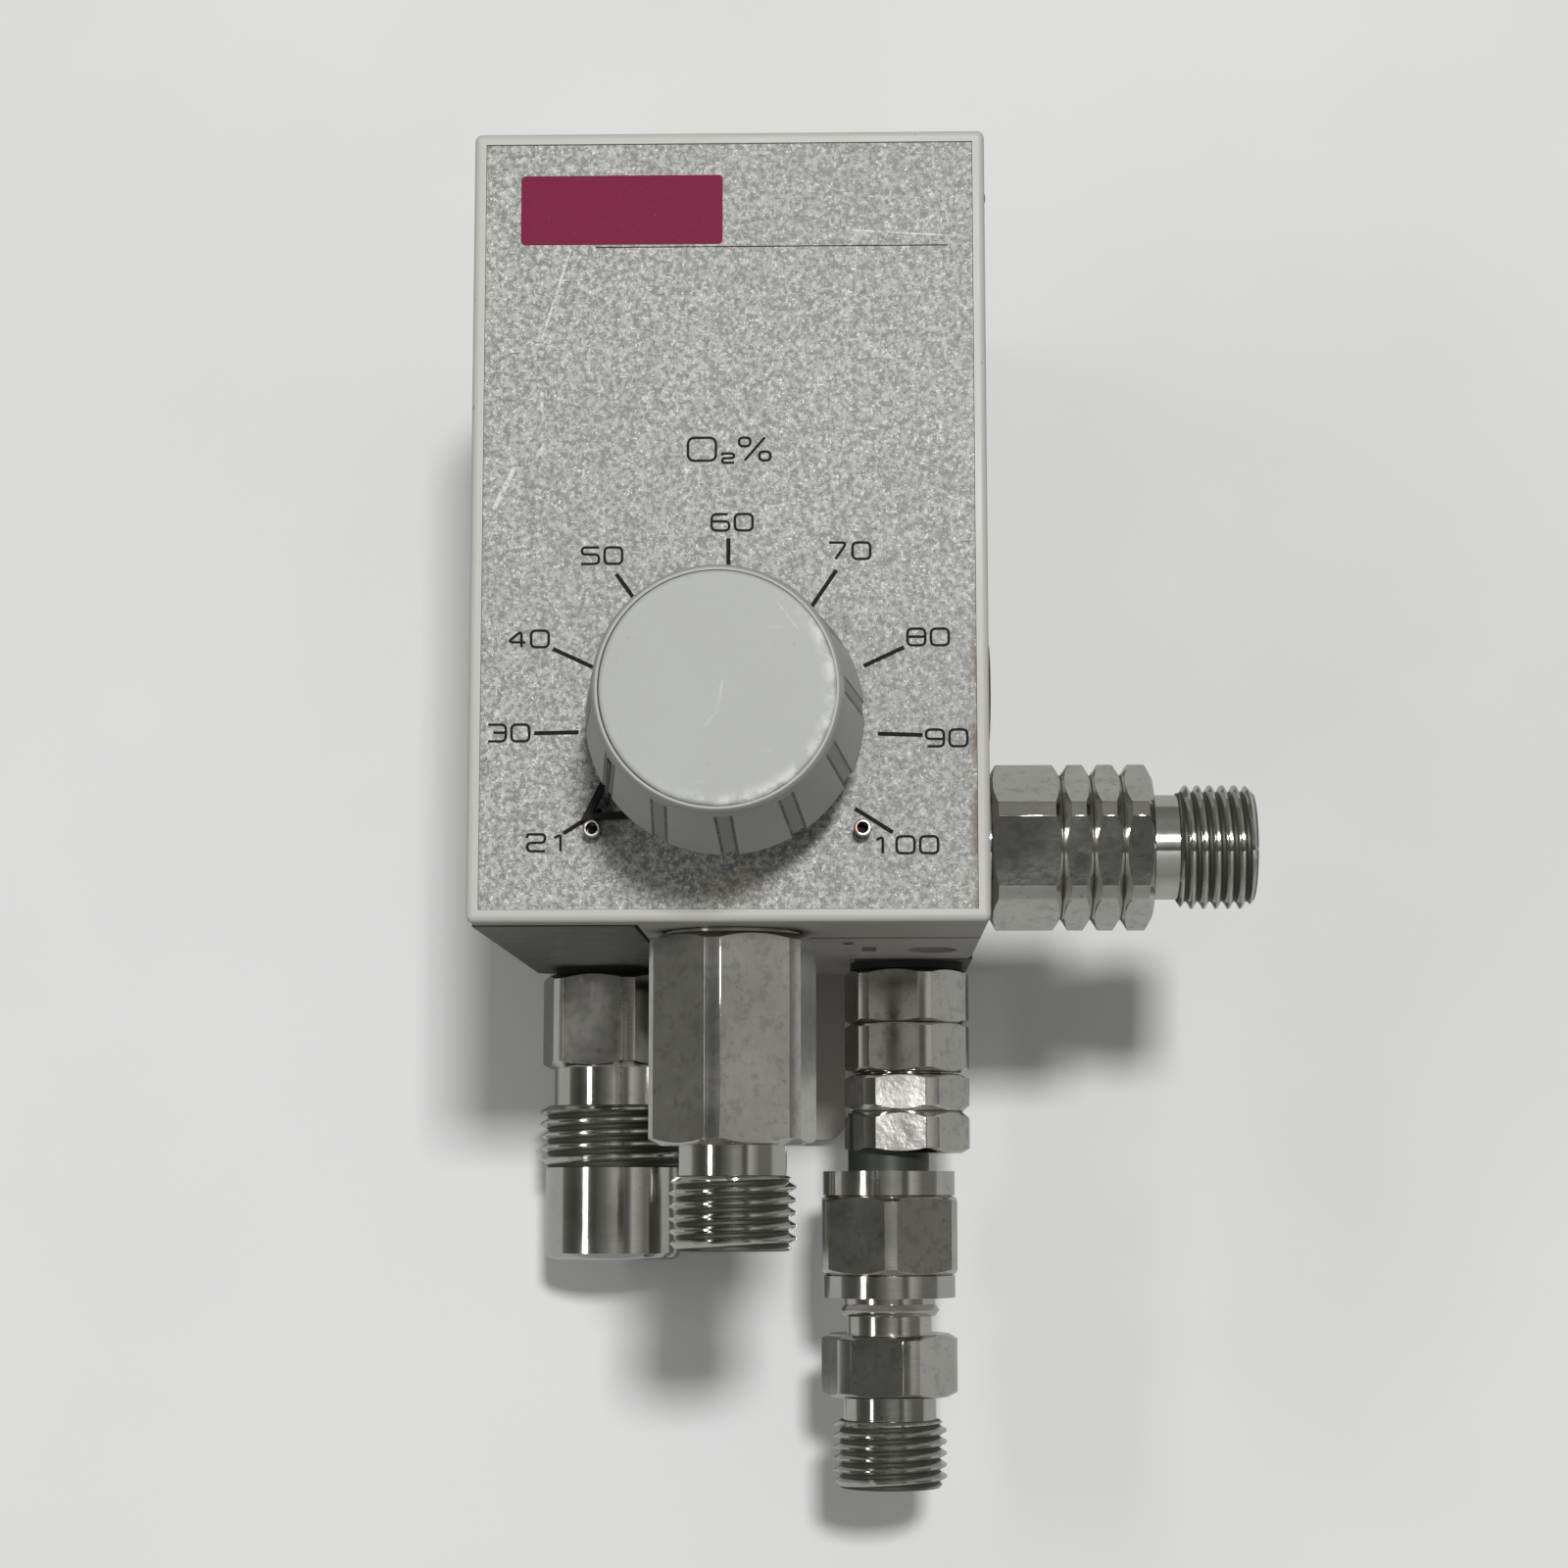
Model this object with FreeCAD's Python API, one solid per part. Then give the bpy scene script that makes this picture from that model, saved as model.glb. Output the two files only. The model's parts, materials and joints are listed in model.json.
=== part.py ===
import FreeCAD
import Part
import math
import os

# Air oxygen blender for a hospital wall rail, in millimetres.
# +Z is up, the dial faces -Y and +X is to the right of someone reading the dial.
# The origin lies in the bracket's mounting face, on the middle line, at the middle of the body's height.
# Most places are given as a distance behind the dial face, and depth() turns that into Y.

# Body
body_width = 57.15
body_height = 88.9
body_depth = 84.0
cover_depth = 21.5
seam = 1.6
wall = 2.6
face_wall = 3.0
rear_wall = 3.0
front_edge_round = 0.85
corner_round = 0.8
lip_width = 0.5
lip_height = 0.25
label_thickness = 0.25
label_gap = 0.05
gasket_inset = 0.8

# Inlet blocks and the notches that take them
air_port_from_side = 10.575
air_port_from_rear = 10.0
air_notch_margin = 7.9
air_notch_depth = 3.6
oxygen_port_from_side = 8.225
oxygen_port_setback = 9.3
oxygen_notch_margin = 7.15
notch_height = 20.45
block_clearance = 0.5
block_front_gap = 2.2
block_chamfer = 5.0
transfer_radius = 3.0
transfer_bore = 2.0
transfer_engagement = 3.0

# Rear bracket
bracket_thickness = 3.0
bracket_width = 24.8
bracket_below_top = 14.45
bracket_drop = 22.1
bracket_corner = 2.6
bracket_hole_radius = 2.25
bracket_hole_above_end = 8.0
bracket_screw_spread = 8.0
bracket_screw_below_balance = 4.0
bracket_screw_above_alarm = 2.0
bracket_screw_radius = 1.5
bracket_screw_head_radius = 2.8
bracket_screw_grip = 9.0

# Dial, knob and pointer
dial_above_bottom = 21.15
knob_clearance = 9.0
knob_height = 19.6
knob_base_radius = 14.88
knob_top_radius = 12.75
knob_shoulder = 0.9
knob_wall = 2.2
flute_count = 12
flute_width = 1.6
flute_depth = 0.35
flute_top_margin = 1.7
cap_radius = 12.05
cap_thickness = 1.6
cap_gap = 0.1
cap_edge_round = 0.5
index_rib_width = 0.5
index_rib_thickness = 0.3
index_rib_gap = 0.03
index_rib_margin = 1.4
pointer_turn = -122.5
pointer_plate_gap = 0.5
pointer_plate_thickness = 1.2
pointer_plate_radius = 12.6
pointer_hub_radius = 10.4
pointer_tip_radius = 18.9
pointer_base_radius = 12.0
pointer_base_half_width = 4.1
pointer_window_scale = 0.42
stop_pin_radius = 0.93
stop_pin_bore = 0.6
stop_pin_circle = 18.45
stop_pin_turn = 127.2
stop_pin_height = 2.5

# Control shaft, bush and nuts
shaft_radius = 3.0
running = 0.05
bush_thread_radius = 4.75
bush_length = 9.0
bush_head_radius = 5.95
panel_nut_flats = 12.0
panel_nut_thickness = 2.6
collet_radius = 5.2
collet_length = 8.0
shaft_head_inset = 1.0
shaft_tail = 4.0
shaft_collar_length = 3.5
shaft_collar_width = 1.5
shaft_screw_depth = 3.0
bush_front_margin = 0.9
panel_nut_corner_radius = 6.7
spindle_stem_radius = 1.7
spindle_front = 6.0
spindle_travel = 1.02

# Valve body and its seats
valve_side_gap = 0.2
valve_wall_gap = 0.475
valve_floor_gap = 0.25
valve_above_dial = 19.3
valve_rear_wall = 3.0
channel_radius = 1.6
channel_from_air_side = 2.5
oxygen_channel_across = 8.0
valve_bore_radius = 6.0
air_room_length = 5.75
between_seats_length = 11.0
oxygen_room_length = 6.0
seat_bore = 3.2
seat_length = 3.0
cone_radius = 4.2
cone_length = 3.0
cone_gap = 0.1
cone_nose = 2.0
gallery_radius = 2.5
cross_gallery_radius = 2.2
gas_gasket = 0.6
notch_behind_valve = 3.1

# Pressure balance and alarm modules
balance_gap = 0.4
balance_size = 26.0
balance_rim = 0.7
diaphragm_thickness = 0.8
diaphragm_radius = 10.8
diaphragm_clamp_radius = 11.8
diaphragm_swing = 1.8
balance_seat_radius = 3.0
balance_seat_end = 12.0
balance_chamber_radius = 6.5
balance_chamber_end = 22.0
balance_stem_radius = 2.0
balance_poppet_radius = 4.2
balance_poppet_thickness = 2.0
balance_poppet_gap = 0.9
alarm_side_inset = 4.5
alarm_size = 22.0
alarm_length = 31.0
alarm_bore_setback = 14.5
alarm_bore_radius = 5.0
alarm_bore_wall = 3.0
alarm_piston_length = 14.0
alarm_piston_gap = 0.2
alarm_plug_length = 3.0
alarm_spring_coil = 4.0
alarm_spring_clearance = 0.3
reed_length = 16.0
reed_width = 4.0
reed_thickness = 0.5

# Fittings: threads by their major radius, hexagons by their flats and turned corner circle
oxygen_thread_radius = 7.144
air_thread_radius = 9.525
thread_neck_radius = 6.05
thread_chamfer = 0.8
outlet_flats = 17.46
outlet_corner_radius = 9.6
outlet_spigot_radius = 6.5
outlet_collar_radius = 7.6
outlet_bore_radius = 4.6
outlet_passage_radius = 3.2
outlet_washer = 0.5
inlet_spigot_length = 7.0
inlet_port_spare = 1.0

primary_depth = 14.3
primary_hex_gap = 0.45
primary_hex_length = 23.5
primary_neck_length = 3.35
primary_thread_length = 8.3
primary_spigot_length = 4.5
primary_socket_length = 9.0
primary_hole_radius = 8.0
primary_hex_turn = -11.6

auxiliary_depth = 22.5
auxiliary_above_bottom = 10.45
auxiliary_hex_gap = 0.78
auxiliary_hex_length = 18.6
auxiliary_neck_length = 3.0
auxiliary_thread_length = 8.8
auxiliary_spigot_length = 6.0
auxiliary_socket_length = 8.0
auxiliary_seat_station = 13.0
auxiliary_pin_short = 0.5
auxiliary_hole_radius = 8.0
auxiliary_groove_stations = (8.15, 11.6, 15.05)
auxiliary_groove_width = 1.78
auxiliary_groove_root = 8.25
auxiliary_hex_turn = 8.6

air_washer = 0.75
air_hex_length = 12.2
air_hex_turn = 15.1
air_neck_length = 4.9
air_neck_radius = 7.7
air_thread_length = 7.9
air_nose_length = 11.9
air_nose_radius = 8.75
air_nose_round = 0.8
air_bore_radius = 5.6
air_seat_drop = 13.5

oxygen_washer = 0.95
oxygen_spigot_radius = 5.5
oxygen_washer_radius = 7.2
oxygen_flats = 14.65
oxygen_corner_radius = 7.97
oxygen_hex_turn = 16.1
oxygen_valve_turn = 22.7
oxygen_body_length = 13.1
oxygen_body_groove = 6.85
oxygen_valve_length = 9.9
oxygen_valve_groove = 4.7
oxygen_groove_root = 7.0
oxygen_narrow_groove = 0.9
oxygen_wide_groove = 1.6
oxygen_joint_gap = 0.2
lower_port_offset = 2.4
nipple_radius = 5.15
nipple_length = 2.3
nipple_insert = 5.0
nut_collar_radius = 8.38
nut_top_collar = 3.05
nut_hex_length = 9.95
nut_bottom_collar = 2.8
nut_flats = 17.0
nut_corner_radius = 9.4
nut_hex_turn = 1.0
nut_bore_radius = 6.4
adapter_crest_length = 2.3
adapter_crest_radius = 6.33
adapter_upper_neck = 2.2
adapter_upper_neck_radius = 5.35
adapter_hex_length = 7.8
adapter_flats = 15.875
adapter_corner_radius = 8.6
adapter_hex_turn = 17.9
adapter_lower_neck = 2.9
adapter_lower_neck_radius = 5.87
adapter_thread_length = 8.35
adapter_insert = 9.0
adapter_bore_radius = 4.4
adapter_socket_length = 9.0
adapter_passage_radius = 2.6
oxygen_seat_thickness = 2.0
offset_body_web = 4.0
nut_shoulder = 3.0

# Check valves and filters inside the fittings
poppet_radius = 4.0
poppet_thickness = 1.6
poppet_stem_radius = 1.2
poppet_stem_length = 4.0
check_seat_radius = 2.6
check_seat_thickness = 2.0
check_chamber_radius = 4.6
check_chamber_length = 9.0
spring_outer_radius = 3.6
spring_wall = 0.7
retainer_thickness = 1.5
retainer_hole_radius = 1.8
filter_radius = 4.55
filter_length = 4.0
filter_floor = 1.2
filter_wall = 1.5

# Side plug and side screws
plug_depth = 11.0
plug_above_dial = 5.4
plug_head_radius = 6.0
plug_head_thickness = 0.4
plug_stem_radius = 5.4
side_screw_depth = 11.0
side_screw_below_top = 4.25
side_screw_radius = 0.8
side_screw_proud = 0.4
side_screw_length = 6.0
strap_thickness = 3.4
strap_front = 7.0
strap_rear = 40.0

# Small holes in the housing's underside: distance from the right side, depth, width and length
vent_slots = ((13.075, 39.0, 1.7, 7.0), (15.575, 30.5, 1.1, 4.0))
oval_vent = (5.4, 40.5, 6.0, 9.0)
vent_depth = 1.5

# Heights
half_width = body_width / 2
half_height = body_height / 2
body_bottom = -half_height
notch_top = body_bottom + notch_height
block_top = notch_top - block_clearance
dial_height = body_bottom + dial_above_bottom
auxiliary_height = body_bottom + auxiliary_above_bottom
valve_bottom = body_bottom + wall + valve_floor_gap
valve_top = dial_height + valve_above_dial
balance_bottom = notch_top + wall + balance_gap
balance_top = balance_bottom + balance_size
balance_height = balance_bottom + balance_size / 2
alarm_top = balance_top + alarm_size
alarm_height = balance_top + alarm_size / 2
bracket_top = half_height - bracket_below_top
lower_screw_height = balance_height - bracket_screw_below_balance
upper_screw_height = alarm_height + bracket_screw_above_alarm
bracket_screw_heights = (lower_screw_height, upper_screw_height)
plug_height = dial_height + plug_above_dial
side_screw_height = half_height - side_screw_below_top

# Distances behind the dial face
cover_inner_face = label_thickness + face_wall
housing_front = cover_depth + seam
shaft_rear = cover_inner_face + bush_length + shaft_tail
air_seat_front = shaft_rear + air_room_length
oxygen_seat_front = air_seat_front + seat_length + between_seats_length
valve_bore_end = oxygen_seat_front + seat_length + oxygen_room_length
valve_rear = valve_bore_end + valve_rear_wall
oxygen_notch_depth = valve_rear + notch_behind_valve + wall
oxygen_depth = oxygen_notch_depth + oxygen_port_setback
air_depth = body_depth - air_port_from_rear
balance_depth = body_depth - rear_wall - diaphragm_clamp_radius - balance_rim
alarm_front = body_depth - rear_wall - alarm_length
alarm_depth = alarm_front + alarm_bore_setback

# Places across
air_across = -half_width + air_port_from_side
air_notch_edge = air_across + air_notch_margin
oxygen_across = half_width - oxygen_port_from_side
oxygen_notch_edge = oxygen_across - oxygen_notch_margin
lower_across = oxygen_across - lower_port_offset
valve_left = air_notch_edge + wall + valve_side_gap
valve_right = half_width - wall - valve_wall_gap
module_half_width = valve_right
air_channel_across = valve_left + channel_from_air_side
alarm_half_width = module_half_width - alarm_side_inset
alarm_bore_end = alarm_half_width - alarm_bore_wall


def depth(distance):
    """Y of a point this far behind the dial face."""
    return distance - body_depth - bracket_thickness


def block(left, right, front, rear, bottom, top):
    """Box between two sides, two distances behind the dial face and two heights."""
    corner = FreeCAD.Vector(left, depth(front), bottom)
    return Part.makeBox(right - left, rear - front, top - bottom, corner)


def upright(radius, across, behind, bottom, top):
    """Cylinder that stands along Z."""
    return Part.makeCylinder(radius, top - bottom, FreeCAD.Vector(across, depth(behind), bottom))


def level(radius, across, height, front, rear):
    """Cylinder that runs front to rear."""
    start = FreeCAD.Vector(across, depth(front), height)
    return Part.makeCylinder(radius, rear - front, start, FreeCAD.Vector(0, 1, 0))


def sideways(radius, behind, height, left, right):
    """Cylinder that runs left to right."""
    start = FreeCAD.Vector(left, depth(behind), height)
    return Part.makeCylinder(radius, right - left, start, FreeCAD.Vector(1, 0, 0))


def rod(radius, bottom, top):
    """Cylinder about Z, for a fitting that is moved to its port later."""
    return Part.makeCylinder(radius, top - bottom, FreeCAD.Vector(0, 0, bottom))


def turned(profile):
    """Solid turned about Z from a closed outline of (radius, height) points."""
    points = [FreeCAD.Vector(radius, 0, height) for radius, height in profile]
    outline = Part.makePolygon(points + points[:1])
    return Part.Face(outline).revolve(FreeCAD.Vector(), FreeCAD.Vector(0, 0, 1), 360)


def turned_level(profile, across, height):
    """Solid turned about a front to rear axis, from (radius, distance behind the dial) points."""
    shape = turned([(radius, -behind) for radius, behind in profile])
    shape.rotate(FreeCAD.Vector(), FreeCAD.Vector(1, 0, 0), 90)
    shape.translate(FreeCAD.Vector(across, depth(0), height))
    return shape


def joined(shapes):
    """One solid out of pieces that touch or overlap."""
    return shapes[0].fuse(shapes[1:]).removeSplitter()


def ring(outer, inner, across, behind, bottom, top):
    """Flat ring that lies level."""
    hole = upright(inner, across, behind, bottom - 1, top + 1)
    return upright(outer, across, behind, bottom, top).cut(hole)


def turned_blank(radius, end_radius, bottom, top, grooves):
    """Bar with chamfered ends and V-grooves, given as (middle height, width, root radius)."""
    bevel = (radius - end_radius) * math.tan(math.radians(30))
    profile = [(0, bottom), (end_radius, bottom), (radius, bottom + bevel)]
    for middle, width, root in grooves:
        profile += [(radius, middle - width / 2), (root, middle), (radius, middle + width / 2)]
    profile += [(radius, top - bevel), (end_radius, top), (0, top)]
    return turned(profile)


def hexagon(flats, corner_radius, bottom, top, turn, grooves=()):
    """Hexagon bar with turned corners; turn is a corner's angle from -Y towards +X."""
    corners = []
    for index in range(6):
        angle = math.radians(turn + 60 * index)
        reach = flats / 2 / math.cos(math.radians(30))
        corners.append(FreeCAD.Vector(reach * math.sin(angle), -reach * math.cos(angle), bottom))
    prism = Part.Face(Part.makePolygon(corners + corners[:1])).extrude(FreeCAD.Vector(0, 0, top - bottom))
    return prism.common(turned_blank(corner_radius, 0.475 * flats, bottom, top, grooves))


def threaded_end(radius, bottom, top):
    """Male thread at its major size, chamfered at both ends."""
    inner = radius - thread_chamfer
    return turned([(0, bottom), (inner, bottom), (radius, bottom + thread_chamfer),
                   (radius, top - thread_chamfer / 2), (inner, top), (0, top)])


def placed(shape, across, behind):
    """Move a fitting that was turned about Z to its port."""
    shape.translate(FreeCAD.Vector(across, depth(behind), 0))
    return shape


def body_section(inset, front, rear):
    """Stretch of the body's section, set in from its outside and from the air block's notch."""
    outside = block(-half_width + inset, half_width - inset, front, rear,
                    body_bottom + inset, half_height - inset)
    notch = block(-half_width - 1, air_notch_edge + inset, front - 1, rear + 1,
                  body_bottom - 1, notch_top + inset)
    return outside.cut(notch)


def oxygen_notch(inset):
    """Space cut from the housing for the oxygen block, grown by inset."""
    return block(oxygen_notch_edge - inset, half_width + 1, oxygen_notch_depth - inset, body_depth + 1,
                 body_bottom - 1, notch_top + inset)


def auxiliary_bar(radius, left, right):
    """Cylinder on the side outlet's axis."""
    return sideways(radius, auxiliary_depth, auxiliary_height, left, right)


def auxiliary_hole():
    return auxiliary_bar(auxiliary_hole_radius, half_width - wall - 1, half_width + 1)


def primary_hole():
    return upright(primary_hole_radius, 0, primary_depth, body_bottom - 1, body_bottom + wall + 1)


def stop_pin_places():
    places = []
    for side in (-1, 1):
        angle = math.radians(side * stop_pin_turn)
        places.append((stop_pin_circle * math.sin(angle), dial_height + stop_pin_circle * math.cos(angle)))
    return places


def front_cover():
    outside = block(-half_width, half_width, -lip_height, cover_depth, body_bottom, half_height)
    upright_edges = []
    face_edges = []
    for edge in outside.Edges:
        low, high = edge.BoundBox.YMin, edge.BoundBox.YMax
        if high - low > 1:
            upright_edges.append(edge)
        elif high < depth(0):
            face_edges.append(edge)
    outside = outside.makeFillet(corner_round, upright_edges)
    face_edges = [edge for edge in outside.Edges if edge.BoundBox.YMax < depth(0)]
    outside = outside.makeFillet(front_edge_round * 0.9, face_edges)
    rim = front_edge_round + lip_width
    recess = block(-half_width + rim, half_width - rim, -lip_height - 1, label_thickness,
                   body_bottom + rim, half_height - rim)
    notch = block(-half_width - 1, air_notch_edge, air_notch_depth, cover_depth + 1,
                  body_bottom - 1, notch_top)
    shell = outside.cut([recess, notch, body_section(wall, cover_inner_face, cover_depth + 1)])
    cuts = [auxiliary_hole(), primary_hole()]
    cuts.append(level(bush_thread_radius + running, 0, dial_height, -1, cover_inner_face + 1))
    for across, height in stop_pin_places():
        cuts.append(level(stop_pin_radius, across, height, -1, cover_inner_face + 1))
    cuts.append(sideways(plug_stem_radius, plug_depth, plug_height, half_width - wall - 1, half_width + 1))
    cuts.append(side_screw_hole())
    return shell.cut(cuts)


def label_plate():
    rim = front_edge_round + lip_width + label_gap
    plate = block(-half_width + rim, half_width - rim, 0, label_thickness,
                  body_bottom + rim, half_height - rim)
    cuts = [level(bush_thread_radius + running, 0, dial_height, -1, 1)]
    for across, height in stop_pin_places():
        cuts.append(level(stop_pin_radius + running, across, height, -1, 1))
    return plate.cut(cuts)


def stop_pins():
    pins = []
    for across, height in stop_pin_places():
        pin = level(stop_pin_radius, across, height, -stop_pin_height, cover_inner_face)
        pins.append(pin.cut(level(stop_pin_bore, across, height, -stop_pin_height - 1, cover_inner_face + 1)))
    return Part.makeCompound(pins)


def cover_gasket():
    rubber = body_section(gasket_inset, cover_depth, housing_front)
    rubber = rubber.cut(body_section(wall, cover_depth - 1, housing_front + 1))
    return rubber.cut([auxiliary_hole(), primary_hole()])


def rear_housing():
    outside = block(-half_width, half_width, housing_front, body_depth, body_bottom, half_height)
    long_edges = [edge for edge in outside.Edges if edge.BoundBox.YLength > 1]
    outside = outside.makeFillet(corner_round, long_edges)
    notch = block(-half_width - 1, air_notch_edge, housing_front - 1, body_depth + 1,
                  body_bottom - 1, notch_top)
    cavity = body_section(wall, housing_front - 1, body_depth - rear_wall).cut(oxygen_notch(wall))
    cuts = [notch, oxygen_notch(0), cavity, auxiliary_hole()]
    for height in bracket_screw_heights:
        for side in (-1, 1):
            cuts.append(level(bracket_screw_radius, side * bracket_screw_spread, height,
                              body_depth - rear_wall - 1, body_depth + 1))
    for across, behind in transfer_places():
        cuts.append(upright(transfer_radius, across, behind, notch_top - 1, notch_top + wall + 1))
    for from_side, behind, width, length in vent_slots:
        across = half_width - from_side
        cuts.append(block(across - width / 2, across + width / 2, behind - length / 2, behind + length / 2,
                          body_bottom - 1, body_bottom + vent_depth))
    cuts.append(oval_hole(*oval_vent))
    return outside.cut(cuts)


def oval_hole(from_side, behind, width, length):
    """Shallow oval in the underside, longer from front to rear."""
    centre = FreeCAD.Vector(half_width - from_side, depth(behind), body_bottom - 1)
    tip = centre + FreeCAD.Vector(0, length / 2, 0)
    flank = centre + FreeCAD.Vector(width / 2, 0, 0)
    outline = Part.Wire([Part.Ellipse(tip, flank, centre).toShape()])
    return Part.Face(outline).extrude(FreeCAD.Vector(0, 0, 1 + vent_depth))


def transfer_places():
    """Where the tubes carry gas up from the inlet blocks into the balance module."""
    return ((air_across, air_depth), (oxygen_across, oxygen_depth))


def transfer_tubes():
    tubes = [ring(transfer_radius, transfer_bore, across, behind,
                  block_top - transfer_engagement, balance_bottom + transfer_engagement)
             for across, behind in transfer_places()]
    return Part.makeCompound(tubes)


def inlet_block(left, right, front, port, port_radius):
    """Aluminium block with a threaded port below and a transfer port above."""
    across, behind = port
    metal = block(left, right, front, body_depth, body_bottom, block_top)
    port_top = body_bottom + inlet_spigot_length + inlet_port_spare
    cuts = [upright(port_radius, across, behind, body_bottom - 1, port_top),
            upright(transfer_bore, across, behind, body_bottom, block_top + 1),
            upright(transfer_radius, across, behind, block_top - transfer_engagement, block_top + 1)]
    return metal.cut(cuts)


def air_block():
    metal = inlet_block(-half_width, air_notch_edge - block_clearance, air_notch_depth + block_front_gap,
                        (air_across, air_depth), outlet_spigot_radius)
    rear_left = [edge for edge in metal.Edges
                 if edge.BoundBox.ZLength > 5 and edge.BoundBox.XMax < -half_width + 0.1
                 and edge.BoundBox.YMin > depth(body_depth) - 0.1]
    return metal.makeChamfer(block_chamfer, rear_left)


def oxygen_block():
    return inlet_block(oxygen_notch_edge + block_clearance, half_width, oxygen_notch_depth + block_front_gap,
                       (oxygen_across, oxygen_depth), oxygen_spigot_radius)


def rear_bracket():
    bottom = body_bottom - bracket_drop
    plate = block(-bracket_width / 2, bracket_width / 2, body_depth, body_depth + bracket_thickness,
                  bottom, bracket_top)
    corners = [edge for edge in plate.Edges if edge.BoundBox.YLength > 1]
    plate = plate.makeFillet(bracket_corner, corners)
    cuts = [level(bracket_hole_radius, 0, bottom + bracket_hole_above_end, body_depth - 1, body_depth + 5)]
    for height in bracket_screw_heights:
        for side in (-1, 1):
            across = side * bracket_screw_spread
            cuts.append(level(bracket_screw_radius, across, height, body_depth - 1, body_depth + 5))
            cuts.append(countersink(across, height, bracket_screw_head_radius))
    return plate.cut(cuts)


def countersink(across, height, head_radius):
    """Cone of a flat head that ends flush with the bracket's mounting face."""
    face = body_depth + bracket_thickness
    rise = head_radius - bracket_screw_radius
    profile = [(0, face - rise), (bracket_screw_radius, face - rise), (head_radius, face), (0, face)]
    return turned_level(profile, across, height)


def bracket_screws():
    screws = []
    for height in bracket_screw_heights:
        for side in (-1, 1):
            across = side * bracket_screw_spread
            face = body_depth + bracket_thickness
            shank = level(bracket_screw_radius, across, height,
                          body_depth - rear_wall - bracket_screw_grip, face - 1)
            head = countersink(across, height, bracket_screw_head_radius)
            slot = block(across - 0.4, across + 0.4, face - 1, face + 1, height - 4, height + 4)
            screws.append(joined([shank, head]).cut(slot))
    return Part.makeCompound(screws)


def cover_strap():
    top = half_height - wall
    edge = half_width - wall
    bar = block(-edge, edge, strap_front, strap_rear, top - strap_thickness, top)
    return bar.cut(side_screw_hole())


def side_screw_hole():
    return sideways(side_screw_radius, side_screw_depth, side_screw_height, -half_width - 1, half_width + 1)


def side_screws():
    screws = []
    for side in (-1, 1):
        ends = sorted((side * (half_width + side_screw_proud), side * (half_width - side_screw_length)))
        screws.append(sideways(side_screw_radius, side_screw_depth, side_screw_height, *ends))
    return Part.makeCompound(screws)


def side_plug():
    stem = sideways(plug_stem_radius, plug_depth, plug_height, half_width - wall, half_width)
    head = sideways(plug_head_radius, plug_depth, plug_height, half_width, half_width + plug_head_thickness)
    outer_rim = [edge for edge in head.Edges if edge.BoundBox.XMin > half_width + 0.1]
    return joined([stem, head.makeChamfer(plug_head_thickness / 2, outer_rim)])


def knob_level(height):
    """Distance behind the dial face of a place this far in front of it."""
    return -height


def control_knob():
    top = knob_clearance + knob_height
    taper = (knob_base_radius - knob_top_radius) / knob_height
    inner_base = knob_base_radius - knob_wall
    web = top - cap_thickness - knob_wall
    inner_top = inner_base - taper * (web - knob_clearance)
    bore = collet_radius + running
    profile = [(inner_base, knob_clearance), (knob_base_radius, knob_clearance),
               (knob_top_radius, top - knob_shoulder), (knob_top_radius - knob_shoulder / 2, top),
               (cap_radius, top), (cap_radius, top - cap_thickness), (bore, top - cap_thickness),
               (bore, web), (inner_top, web)]
    body = turned_level([(radius, knob_level(height)) for radius, height in profile], 0, dial_height)
    flutes = []
    for index in range(flute_count):
        turn = pointer_turn + index * 360 / flute_count
        flutes.append(knob_side_bar(flute_width, 4, top - flute_top_margin, knob_clearance - 1, 0, turn))
    return body.cut(flutes)


def knob_side_bar(width, thickness, high, low, rise, turn):
    """Bar that lies along the knob's tapered side, this far above the floor of its flutes."""
    bar = block(-width / 2, width / 2, knob_level(high), knob_level(low), 0, thickness)
    lean = math.degrees(math.atan((knob_base_radius - knob_top_radius) / knob_height))
    base = FreeCAD.Vector(0, depth(knob_level(knob_clearance)), 0)
    bar.rotate(base, FreeCAD.Vector(1, 0, 0), -lean)
    bar.translate(FreeCAD.Vector(0, 0, dial_height + knob_base_radius - flute_depth + rise))
    bar.rotate(FreeCAD.Vector(0, 0, dial_height), FreeCAD.Vector(0, 1, 0), turn)
    return bar


def knob_cap():
    top = knob_clearance + knob_height
    disc = level(cap_radius - cap_gap, 0, dial_height, knob_level(top), knob_level(top - cap_thickness))
    rim = [edge for edge in disc.Edges if edge.BoundBox.YMax < depth(knob_level(top)) + 0.1]
    return disc.makeFillet(cap_edge_round, rim)


def pointer_outline(scale):
    """Corners of the arrow, shrunk about its middle for the window in it."""
    corners = [(0, pointer_tip_radius), (pointer_base_half_width, pointer_base_radius),
               (-pointer_base_half_width, pointer_base_radius)]
    middle = sum(reach for across, reach in corners) / 3
    return [(across * scale, middle + (reach - middle) * scale) for across, reach in corners]


def pointer_prism(scale, front, rear):
    points = [FreeCAD.Vector(across, depth(front), dial_height + reach)
              for across, reach in pointer_outline(scale)]
    prism = Part.Face(Part.makePolygon(points + points[:1])).extrude(FreeCAD.Vector(0, rear - front, 0))
    prism.rotate(FreeCAD.Vector(0, 0, dial_height), FreeCAD.Vector(0, 1, 0), pointer_turn)
    return prism


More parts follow.
